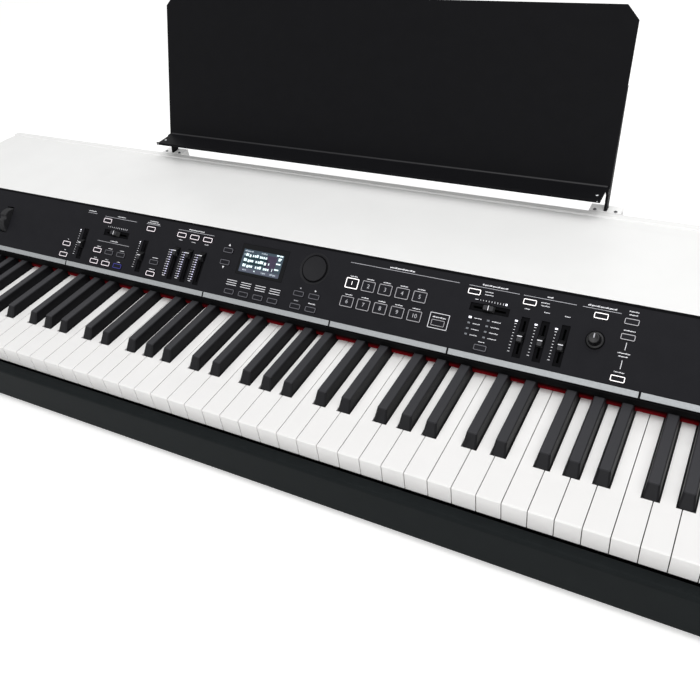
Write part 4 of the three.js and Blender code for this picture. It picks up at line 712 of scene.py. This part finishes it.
# Lights of the effect types, the first of them on, and of the scales' ends, all of them on
TYPE_PLACES = [(x, row) for x in TYPE_LIGHT_X for row in TYPE_ROWS]
# Half width, half height, low and high side of a type's light
TYPE_ON, TYPE_OFF = (1.5, 1.05, 0, 0.15), (1.4, 0.9, 0, 0.12)
# Place and half sizes of the lights at the scales' ends, and row, sizes and radius of the round ones
EQ_LIGHT, REVERB_LIGHT = (42.4, 1.4, 0.8), (265.4, 56.4, 1, 1)
ROUND_LIGHT = (44.6, 1.5, 1.5, 0.7)
lights = bmesh.new()
block(lights, *TYPE_PLACES[0], *TYPE_ON)
for x in EQ_SCALE_X:
    block(lights, x, *EQ_LIGHT, INK_LOW, LIGHT_HIGH)
block(lights, *REVERB_LIGHT, INK_LOW, LIGHT_HIGH)
for x in (VOLUME_SCALE_X, TOUCH_SCALE_X):
    prism(lights, soft_rectangle(x, *ROUND_LIGHT), INK_LOW, LIGHT_HIGH)
make("lights_on", lights, PANEL, light_on, "case")
lights = bmesh.new()
for x, row in TYPE_PLACES[1:]:
    block(lights, x, row, *TYPE_OFF)
make("lights_off", lights, PANEL, light_off, "case")

# Index line and raised pad of painted highlight on each slider cap, from its column, its row and whether it
# runs across
CAP_RISE = 6
CAP_EMBED = 0.3
CAP_LINE_HALF_LENGTH, CAP_LINE_HALF_WIDTH, CAP_LINE_RISE = 2.5, 0.45, 0.12
HIGHLIGHT_LENGTH, HIGHLIGHT_WIDTH, HIGHLIGHT_RADIUS, HIGHLIGHT_OFFSET, HIGHLIGHT_RISE = 4, 4.8, 0.9, 3.3, 0.08
CAPS = {
    "slider_volume": (VOLUME_X, SLIDER_ROW, False), "slider_dynamics": (DYNAMICS_X, ACROSS_ROW, True),
    "slider_touch": (TOUCH_X, SLIDER_ROW, False), "slider_part_1": (PART_X[0], PART_CAP_ROW, False),
    "slider_part_2": (PART_X[1], PART_CAP_ROW, False), "slider_part_3": (PART_X[2], PART_CAP_ROW, False),
    "slider_reverb": (REVERB_X, ACROSS_ROW, True), "slider_eq_low": (EQ_X[0], SLIDER_ROW, False),
    "slider_eq_mid": (EQ_X[1], SLIDER_ROW, False), "slider_eq_high": (EQ_X[2], SLIDER_ROW, False),
}
for name, (x, row, across) in CAPS.items():
    half_width, half_height = CAP_LINE_HALF_LENGTH, CAP_LINE_HALF_WIDTH
    highlight_pads = [soft_rectangle(x, row - HIGHLIGHT_OFFSET, HIGHLIGHT_WIDTH, HIGHLIGHT_LENGTH, HIGHLIGHT_RADIUS)]
    if across:
        half_width, half_height = half_height, half_width
        highlight_pads = [soft_rectangle(x + side * HIGHLIGHT_OFFSET, row, HIGHLIGHT_LENGTH, HIGHLIGHT_WIDTH, HIGHLIGHT_RADIUS)
                 for side in (-1, 1)]
    line = bmesh.new()
    block(line, x, row, half_width, half_height, CAP_RISE - CAP_EMBED, CAP_RISE + CAP_LINE_RISE)
    highlight_pad = bmesh.new()
    for outline in highlight_pads:
        prism(highlight_pad, outline, CAP_RISE - CAP_EMBED, CAP_RISE + HIGHLIGHT_RISE)
    make(f"{name}_line", line, PANEL, ink_white_painted_glow, name)
    make(f"{name}_grip", highlight_pad, PANEL, cap_painted_highlight, name)

# Value dial: a flat disc with a dished face, which stands in a ring over a well darkened with painted shade
DIAL_X, DIAL_ROW, DIAL_STEPS = 36.6, 54.4, 96
WELL_HOLE_RADIUS = 3.5
# Radius, low and high side of each well
DIAL_WELL, KNOB_WELL = (16.3, -0.74, -0.6), (9.35, -0.75, -0.55)
DIAL_PROFILE = (
    (0, -0.5), (14.6, -0.5), (14.8, -0.3), (14.8, 0.7), *arc(14.3, 0.7, 0.5, 0, 90, 4)[1:],
    (13.9, 1.2), (13.4, 1.0), (13, 0.85), (0, 0.8),
)
DIAL_RING_PROFILE = (
    (19.3, 0.02), (19.1, 0.3), (18.7, 0.32), (18.3, 0.05), (16.6, -0.2), (16.2, -0.75), (19.3, -0.75),
)
mesh = bmesh.new()
lathe(mesh, DIAL_PROFILE, DIAL_X, DIAL_ROW, DIAL_STEPS)
dial = make("value_dial_cap", mesh, PANEL, dial_black, "value_dial", smooth=True)
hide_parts("value_dial")
mesh = bmesh.new()
bridge(mesh, turned_rows(mesh, DIAL_RING_PROFILE, DIAL_X, DIAL_ROW, DIAL_STEPS), closed=True)
make("value_dial_ring", mesh, PANEL, dial_black, "case", smooth=True)


def round_plate(mesh, x, y, radius, hole_radius, steps, low, high):
    """Adds a round plate with a round hole."""
    outer, inner = round_outline(x, y, radius, steps), round_outline(x, y, hole_radius, steps)
    hollow_prism(mesh, outer, inner, low, high)


def well(name, x, row, steps, radius, low, high):
    """Dark floor round the shaft of a control, painted shade in the gap round it."""
    mesh = bmesh.new()
    round_plate(mesh, x, row, radius, WELL_HOLE_RADIUS, steps, low, high)
    make(name, mesh, PANEL, recess_shade_and_joint_black, "case")


well("value_dial_shade_well", DIAL_X, DIAL_ROW, DIAL_STEPS, *DIAL_WELL)

# Tone knob: skirt, tapered grip and a raised pointer
KNOB_X, KNOB_ROW, KNOB_STEPS = TONE_X, 39.1, 72
POINTER_HALF_WIDTH, POINTER_LENGTH, POINTER_LOW, POINTER_HIGH = 0.55, 4.4, 11.8, 12.9
KNOB_PROFILE = (
    (0, -0.5), (8.3, -0.5), (8.5, -0.3), (8.5, 1.2), (8.3, 1.7), (7.6, 2.1), (6.6, 2.2), (6.2, 2.5),
    (5.9, 6.5), (5.45, 11.4), *arc(4.45, 11.5, 1, 0, 90, 5)[1:], (3.9, 12.45), (3.6, 12.3), (0, 12.3),
)
mesh = bmesh.new()
lathe(mesh, KNOB_PROFILE, KNOB_X, KNOB_ROW, KNOB_STEPS)
knob = make("tone_knob_cap", mesh, PANEL, control_black, "tone_knob", smooth=True)
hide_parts("tone_knob")
mesh = bmesh.new()
bar(mesh, KNOB_X - POINTER_HALF_WIDTH, KNOB_X + POINTER_HALF_WIDTH, KNOB_ROW, KNOB_ROW + POINTER_LENGTH,
    POINTER_LOW, POINTER_HIGH)
make("tone_knob_line", mesh, PANEL, ink_grey, "tone_knob")
well("tone_knob_shade_well", KNOB_X, KNOB_ROW, KNOB_STEPS, *KNOB_WELL)

# Dark floor of each slider's recess, painted shade in it, with the slot left open; the part sliders' caps
# stand above its middle
RECESS_HALF_WIDTH, RECESS_HALF_LENGTH = 4.25, 21.2
SLOT_HALF_WIDTH, SLOT_HALF_LENGTH = 1.2, 17.4
RECESS_LOW, RECESS_HIGH = -1.18, -1.05
mesh = bmesh.new()
for x, row, across in CAPS.values():
    if row == PART_CAP_ROW:
        row = SLIDER_ROW
    recess, slot = (RECESS_HALF_WIDTH, RECESS_HALF_LENGTH), (SLOT_HALF_WIDTH, SLOT_HALF_LENGTH)
    if across:
        recess, slot = recess[::-1], slot[::-1]
    hollow_prism(mesh, rectangle(x, row, *recess), rectangle(x, row, *slot), RECESS_LOW, RECESS_HIGH)
make("slider_recess_shade", mesh, PANEL, recess_shade_and_joint_black, "case")

# Display: a lit field with a tinted side, foot and bands, and plain blocks in the places of its text
FIELD_LOW, FIELD_HIGH, TINT_HIGH, TEXT_HIGH = 0.02, 0.06, 0.08, 0.11
FIELD = (-35.6, 48, 57, 28.4, 0.6)
# Left, right, lower and upper edge of each tinted area, and of two small signs
TINTED = {
    "display_side": (screen_side, ((-29.5, -15.5, 40.2, 59),)),
    "display_foot": (screen_foot, ((-63.6, -7.6, 34.2, 38.9),)),
    "display_bands": (screen_deep, ((-61.5, -27, 51, 53.2), (-61.5, -27, 44.5, 46.7))),
}
SMALL_SIGNS = ((-61.9, -60.9, 54.9, 56.1), (-42.7, -41.3, 36.2, 37.6))
# Lines of the display: row, height, and the left and right end of each word
TEXT_LINES = (
    (55.6, 3.5, ((-59.6, -51.6), (-49.8, -41.4), (-39.6, -29))),
    (49.1, 3.5, ((-60.9, -46.4), (-43.8, -28.4), (-25.6, -24.2))),
    (42.3, 3.5, ((-60.6, -45.6), (-42.4, -33.6), (-30.9, -21.9), (-18.8, -17.2))),
)
SMALL_LINES = (
    (60.2, 1.7, ((-62.4, -50.4), (-38.6, -30.4))),
    (36.9, 1.9, ((-59, -53.4), (-32.2, -25.6), (-19.8, -11.4))),
)
# Signs at the display's right: middle, row and width
SIGNS = (
    (-15.6, 61, 3.4), (-10.6, 60.9, 4.4), (-11.4, 57.4, 4.4), (-12, 55.6, 3), (-12.2, 50.9, 6),
    (-12.8, 43.8, 6),
)
SIGN_HALF_HEIGHT = 0.8


def screen_lines(mesh, lines):
    for row, height, words in lines:
        for i, (left, right) in enumerate(words):
            blocks(mesh, left, right, row, height, TINT_HIGH, TEXT_HIGH, i + round(row))


mesh = bmesh.new()
prism(mesh, soft_rectangle(*FIELD), FIELD_LOW, FIELD_HIGH)
make("display_field", mesh, PANEL, screen_back, "case")
for name, (look, areas) in TINTED.items():
    mesh = bmesh.new()
    for area in areas:
        bar(mesh, *area, FIELD_HIGH, TINT_HIGH)
    make(name, mesh, PANEL, look, "case")
mesh = bmesh.new()
screen_lines(mesh, TEXT_LINES)
for x, row, width in SIGNS:
    block(mesh, x, row, width / 2, SIGN_HALF_HEIGHT, TINT_HIGH, TEXT_HIGH)
for area in SMALL_SIGNS:
    bar(mesh, *area, TINT_HIGH, TEXT_HIGH)
make("display_lines", mesh, PANEL, screen_text, "case")
mesh = bmesh.new()
screen_lines(mesh, SMALL_LINES)
make("display_labels", mesh, PANEL, screen_label, "case")

# Screws with a crossed recess; their sizes across are shares of the head's radius
SCREW_STEPS = 32
HEAD_FOOT, HEAD_EDGE, HEAD_SHOULDER, HEAD_ROUND, HEAD_TOP = -0.6, 0.3, 0.75, 0.98, 1.05
SHOULDER_SHARE, ROUND_SHARE = 0.86, 0.6
CROSS_LENGTH_SHARE, CROSS_WIDTH_SHARE = 0.55, 0.13
CROSS_LOW, CROSS_HIGH = 0.9, 1.12


def placed(x, y, z, turn=Matrix.Identity(4)):
    """Frame of a small piece at a place on the case, with its height turned."""
    return WORK @ Matrix.Translation((x, y, z)) @ turn


def screw(name, matrix, radius, material, body):
    head = bmesh.new()
    profile = (
        (0, HEAD_FOOT), (radius, HEAD_FOOT), (radius, HEAD_EDGE), (radius * SHOULDER_SHARE, HEAD_SHOULDER),
        (radius * ROUND_SHARE, HEAD_ROUND), (0, HEAD_TOP),
    )
    lathe(head, profile, 0, 0, SCREW_STEPS)
    make(name, head, matrix, material, body, smooth=True)
    cross = bmesh.new()
    length, width = radius * CROSS_LENGTH_SHARE, radius * CROSS_WIDTH_SHARE
    block(cross, 0, 0, length, width, CROSS_LOW, CROSS_HIGH)
    block(cross, 0, 0, width, length, CROSS_LOW, CROSS_HIGH)
    make(f"{name}_cross", cross, matrix, socket_black, body)


CASE_SCREW_X = (-540, -270, 0, 270, 540)
CASE_SCREW_Y = (14, 366)
REAR_SCREW_X = (-590, -330, -60, 240, 400, 590)
REAR_SCREW_Z = (-58, 48)
REAR_SCREW_Y = 381.2
CASE_SCREW_RADIUS, REAR_SCREW_RADIUS = 4, 3
for i, x in enumerate(CASE_SCREW_X):
    for j, y in enumerate(CASE_SCREW_Y):
        screw(f"case_screw_{i}_{j}", placed(x, y, -CASE_DROP, TO_FLOOR), CASE_SCREW_RADIUS, nut_metal,
              "case")
for i, x in enumerate(REAR_SCREW_X):
    for j, z in enumerate(REAR_SCREW_Z):
        screw(f"rear_screw_{i}_{j}", placed(x, REAR_SCREW_Y, z, TO_REAR), REAR_SCREW_RADIUS, nut_metal,
              "case")

# Screws and rivets of the music rest and its brackets
REST_CREASE_Z = 104.9
SHELF_TOP_Z = REST_CREASE_Z + 1
REST_SCREW_X, REST_SCREW_Y = 309.9, 371.9
REST_RIVET_X, REST_RIVET_Y, REST_RIVET_Z = 313.4, 358.4, 105.6
BRACKET_X, BRACKET_Y, BRACKET_TOP_Z = 317.4, 387.6, 79.35
BRACKET_SCREW_OFFSETS = (-11.8, 11.8)
REST_SCREW_RADIUS, REST_RIVET_RADIUS, BRACKET_SCREW_RADIUS = 1.9, 0.8, 2.1
for side, side_name in ((-1, "left"), (1, "right")):
    on_shelf = placed(side * REST_SCREW_X, REST_SCREW_Y, SHELF_TOP_Z)
    screw(f"rest_screw_{side_name}", on_shelf, REST_SCREW_RADIUS, nut_metal, "music_rest")
    on_lip = placed(side * REST_RIVET_X, REST_RIVET_Y, REST_RIVET_Z, TO_FRONT)
    screw(f"rest_rivet_{side_name}", on_lip, REST_RIVET_RADIUS, nut_metal, "music_rest")
    for k, offset in enumerate(BRACKET_SCREW_OFFSETS):
        on_bracket = placed(side * (BRACKET_X + offset), BRACKET_Y, BRACKET_TOP_Z)
        screw(f"bracket_screw_{side_name}_{k}", on_bracket, BRACKET_SCREW_RADIUS, screw_dark, "case")

# Rounded bend where the rest's shelf meets its plate, in a lighter black than the rest for a painted
# highlight along the bend
BEND_Y, BEND_Z, BEND_RADIUS, BEND_SWEEP, BEND_STEPS = 392.23, 107.9, 2, 70, 7
BEND_HALF_WIDTH = 316.3
BEND_FOOT_Z = SHELF_TOP_Z - 0.2
BEND_OUTLINE = (
    (BEND_Y, BEND_FOOT_Z), (BEND_Y, SHELF_TOP_Z),
    *arc(BEND_Y, BEND_Z, BEND_RADIUS, 270, BEND_SWEEP, BEND_STEPS)[1:],
    (394.3, 107.1), (394, BEND_FOOT_Z),
)
mesh = bmesh.new()
side_prism(mesh, BEND_OUTLINE, -BEND_HALF_WIDTH, BEND_HALF_WIDTH)
make("rest_bend_painted_highlight", mesh, WORK, rest_bend_painted_highlight, "music_rest")

# Dark floor of the joints between the lengths of the trim strip, in the strip's own tilt
TRIM_JOINT_X = (-337, -104.8, 74.1, 216.7, 411)
TRIM_JOINT_HALF_WIDTH = 0.98
TRIM_TILT = math.radians(9)
TRIM_HEAD = -0.55
TRIM_NEAR, TRIM_FAR, TRIM_DEEP, TRIM_SHALLOW = 0.35, 5.85, 0.7, 0.6
mesh = bmesh.new()
for x in TRIM_JOINT_X:
    outline = []
    for along, depth in ((TRIM_NEAR, TRIM_DEEP), (TRIM_FAR, TRIM_DEEP), (TRIM_FAR, TRIM_SHALLOW),
                         (TRIM_NEAR, TRIM_SHALLOW)):
        outline.append((TRIM_HEAD - along * math.cos(TRIM_TILT) + depth * math.sin(TRIM_TILT),
                        -along * math.sin(TRIM_TILT) - depth * math.cos(TRIM_TILT)))
    side_prism(mesh, outline, x - TRIM_JOINT_HALF_WIDTH, x + TRIM_JOINT_HALF_WIDTH)
make("trim_joints", mesh, PANEL, recess_shade_and_joint_black, "case")

# Dark strip between the panel and the cover: painted shade in the gap under the cover's front edge
GAP_SHADE_HALF_WIDTH, GAP_SHADE_FRONT, GAP_SHADE_BACK, GAP_SHADE_LOW, GAP_SHADE_HIGH = 611, 78.8, 81.3, -0.3, 0.5
mesh = bmesh.new()
bar(mesh, -GAP_SHADE_HALF_WIDTH, GAP_SHADE_HALF_WIDTH, GAP_SHADE_FRONT, GAP_SHADE_BACK, GAP_SHADE_LOW, GAP_SHADE_HIGH)
make("panel_gap_shade", mesh, PANEL, recess_shade_and_joint_black, "case")

# Pitch wheel: a rim with fine ribs, rounded edges and a finger notch at its top
WHEEL_X, WHEEL_ROW, WHEEL_SINK = -470, 38, 8.5
WHEEL_RADIUS, WHEEL_HALF_WIDTH = 19, 5.5
WHEEL_STEPS = 144
RIB_DEPTH = 0.35
NOTCH_RADIUS = 3.5
# Steps of the rim's rounded edge: how far in from the side, and how far below the rim
WHEEL_EDGE = ((0, 1.2), (0.4, 0.4), (1.1, 0))


def wheel_reach(step, angle):
    """Radius of the rim at a step round the wheel."""
    radius = WHEEL_RADIUS - (RIB_DEPTH if step % 2 else 0)
    along = WHEEL_RADIUS * math.sin(angle)
    if math.cos(angle) > 0 and abs(along) < NOTCH_RADIUS:
        radius = min(radius, WHEEL_RADIUS * math.cos(angle) - math.sqrt(NOTCH_RADIUS ** 2 - along ** 2))
    return radius


def wheel_row(mesh, across, inset):
    """Points round the wheel, across from its middle and inset from its rim."""
    row = []
    for step in range(WHEEL_STEPS):
        angle = 2 * math.pi * step / WHEEL_STEPS
        reach = wheel_reach(step, angle) - inset
        row.append(mesh.verts.new((WHEEL_X + across, WHEEL_ROW + reach * math.sin(angle),
                                   -WHEEL_SINK + reach * math.cos(angle))))
    return row


mesh = bmesh.new()
rows = [wheel_row(mesh, inward - WHEEL_HALF_WIDTH, inset) for inward, inset in WHEEL_EDGE]
rows += [wheel_row(mesh, WHEEL_HALF_WIDTH - inward, inset) for inward, inset in WHEEL_EDGE[::-1]]
bridge(mesh, rows)
fan(mesh, rows[0], (WHEEL_X - WHEEL_HALF_WIDTH, WHEEL_ROW, -WHEEL_SINK))
fan(mesh, rows[-1], (WHEEL_X + WHEEL_HALF_WIDTH, WHEEL_ROW, -WHEEL_SINK))
wheel = make("pitch_wheel_tyre", mesh, PANEL, wheel_grey, "pitch_wheel")
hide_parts("pitch_wheel")

# Rubber feet, turned with a soft lower edge and a ring round the rim
FOOT_STEPS, TREAD_STEPS = 72, 5
TREAD_INSET, TREAD_RADIUS = 2.6, 1.4
# The ring's points: how far in from the foot's side, and how far above its underside
FOOT_RING = ((1.1, 2.6), (0.8, 2.9), (0.1, 3.2))
for name in ("front_left", "front_right", "back_left", "back_right"):
    low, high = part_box(f"foot_{name}")
    x, y = (low[0] + high[0]) / 2 / MM, (low[1] + high[1]) / 2 / MM
    radius = (high[0] - low[0]) / 2 / MM
    base, top = low[2] / MM, high[2] / MM
    profile = (
        (0, base), (radius - TREAD_INSET, base),
        *arc(radius - TREAD_INSET, base + TREAD_RADIUS, TREAD_RADIUS, -90, 90, TREAD_STEPS)[1:],
        *((radius - inset, base + height) for inset, height in FOOT_RING),
        (radius - FOOT_RING[-1][0], top), (0, top),
    )
    mesh = bmesh.new()
    lathe(mesh, profile, x, y, FOOT_STEPS)
    foot = make(f"rubber_foot_{name}", mesh, Matrix.Scale(MM, 4), rubber, "case")
    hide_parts(f"foot_{name}")

# Metal nuts round the jack sockets and rims round the balanced ones
SOCKET_Z, SOCKET_FACE_Y = 8, 381.5
# Places across, then the radius, hole radius, sides, low and high side of each kind
SOCKET_TRIMS = {
    "jack_nut": ((-460, -180, -148, -116, 40, 72), (7.3, 3.5, 6, 2.5, 3.1)),
    "balanced_rim": ((130, 170), (12.6, 8.6, 64, 1.5, 2.1)),
}
for name, (columns, plate) in SOCKET_TRIMS.items():
    for i, x in enumerate(columns):
        mesh = bmesh.new()
        round_plate(mesh, 0, 0, *plate)
        make(f"{name}_{i}", mesh, placed(x, SOCKET_FACE_Y, SOCKET_Z, TO_REAR), nut_metal, "case")

# Floor, lamps and world; camera, reflections and transmissions see white surroundings
FLOOR_HALF, FLOOR_THICKNESS, FLOOR_DROP = 6000, 20, 0.5
FLOOR_GLOW = 0.4
WORLD_LIGHT, WORLD_SEEN = 0.54, 1.0
WHITE = (1, 1, 1, 1)
# Lamps: place, aim and size in metres, and power in watts
LAMPS = {
    "top_light": ((0.6, -0.4, 2.3), (0.15, 0.05, 0.1), (2.8, 1.8), 21),
    "fill_light": ((0.12, -0.25, 1.5), (0.08, 0.12, 0.1), (1.0, 0.8), 4),
    "front_light": ((0.7, -2.2, 1.1), (0.1, 0, 0.05), (2.6, 1.0), 12),
    "back_light": ((0.2, 2.4, 1.9), (0, 0, 0.1), (2.4, 1.0), 6),
}


def softbox(name, place, aim, size, power):
    """Adds a rectangular lamp that points at its aim."""
    data = bpy.data.lights.new(name, "AREA")
    data.shape = "RECTANGLE"
    data.size, data.size_y = size
    data.energy = power
    lamp = bpy.data.objects.new(name, data)
    scene.collection.objects.link(lamp)
    lamp.location = place
    lamp.rotation_euler = (Vector(aim) - Vector(place)).to_track_quat("-Z", "Y").to_euler()


def calculate(tree, operation, first, second):
    """Result of a sum with two sockets, or with a socket and a number."""
    node = tree.nodes.new("ShaderNodeMath")
    node.operation = operation
    tree.links.new(first, node.inputs[0])
    if isinstance(second, float):
        node.inputs[1].default_value = second
    else:
        tree.links.new(second, node.inputs[1])
    return node.outputs["Value"]


def seen_directly(tree):
    """Socket that is 1 for a ray from the camera, a reflection or a transmission."""
    path = tree.nodes.new("ShaderNodeLightPath").outputs
    either = calculate(tree, "MAXIMUM", path["Is Camera Ray"], path["Is Glossy Ray"])
    return calculate(tree, "MAXIMUM", either, path["Is Transmission Ray"])


def add_floor():
    mesh = bmesh.new()
    bar(mesh, -FLOOR_HALF, FLOOR_HALF, -FLOOR_HALF, FLOOR_HALF, -FLOOR_THICKNESS, 0)
    material = surface("floor", "f4f4f3", 0.8, mottle=0.01, mottle_scale=3, specular=0.1)
    floor = mesh_object("floor", mesh, Matrix.Scale(MM, 4), material)
    floor.location.z = -FLOOR_DROP * MM
    return material


def whiten_floor(material):
    """Makes the floor look white to the camera, while it keeps the object's shadow."""
    tree = material.node_tree
    glow = tree.nodes.new("ShaderNodeEmission")
    glow.inputs["Color"].default_value = WHITE
    strength = calculate(tree, "MULTIPLY", seen_directly(tree), FLOOR_GLOW)
    tree.links.new(strength, glow.inputs["Strength"])
    both = tree.nodes.new("ShaderNodeAddShader")
    tree.links.new(tree.nodes["Principled BSDF"].outputs["BSDF"], both.inputs[0])
    tree.links.new(glow.outputs["Emission"], both.inputs[1])
    tree.links.new(both.outputs["Shader"], tree.nodes["Material Output"].inputs["Surface"])


def add_world():
    world = bpy.data.worlds.new("world")
    scene.world = world
    world.use_nodes = True
    tree = world.node_tree
    light = tree.nodes["Background"]
    light.inputs["Color"].default_value = WHITE
    light.inputs["Strength"].default_value = WORLD_LIGHT
    paper = tree.nodes.new("ShaderNodeBackground")
    paper.inputs["Color"].default_value = WHITE
    paper.inputs["Strength"].default_value = WORLD_SEEN
    mix = tree.nodes.new("ShaderNodeMixShader")
    tree.links.new(seen_directly(tree), mix.inputs["Fac"])
    tree.links.new(light.outputs["Background"], mix.inputs[1])
    tree.links.new(paper.outputs["Background"], mix.inputs[2])
    tree.links.new(mix.outputs["Shader"], tree.nodes["World Output"].inputs["Surface"])


floor_material = add_floor()
for name, lamp in LAMPS.items():
    softbox(name, *lamp)
add_world()
whiten_floor(floor_material)
scene.view_settings.view_transform = "Standard"
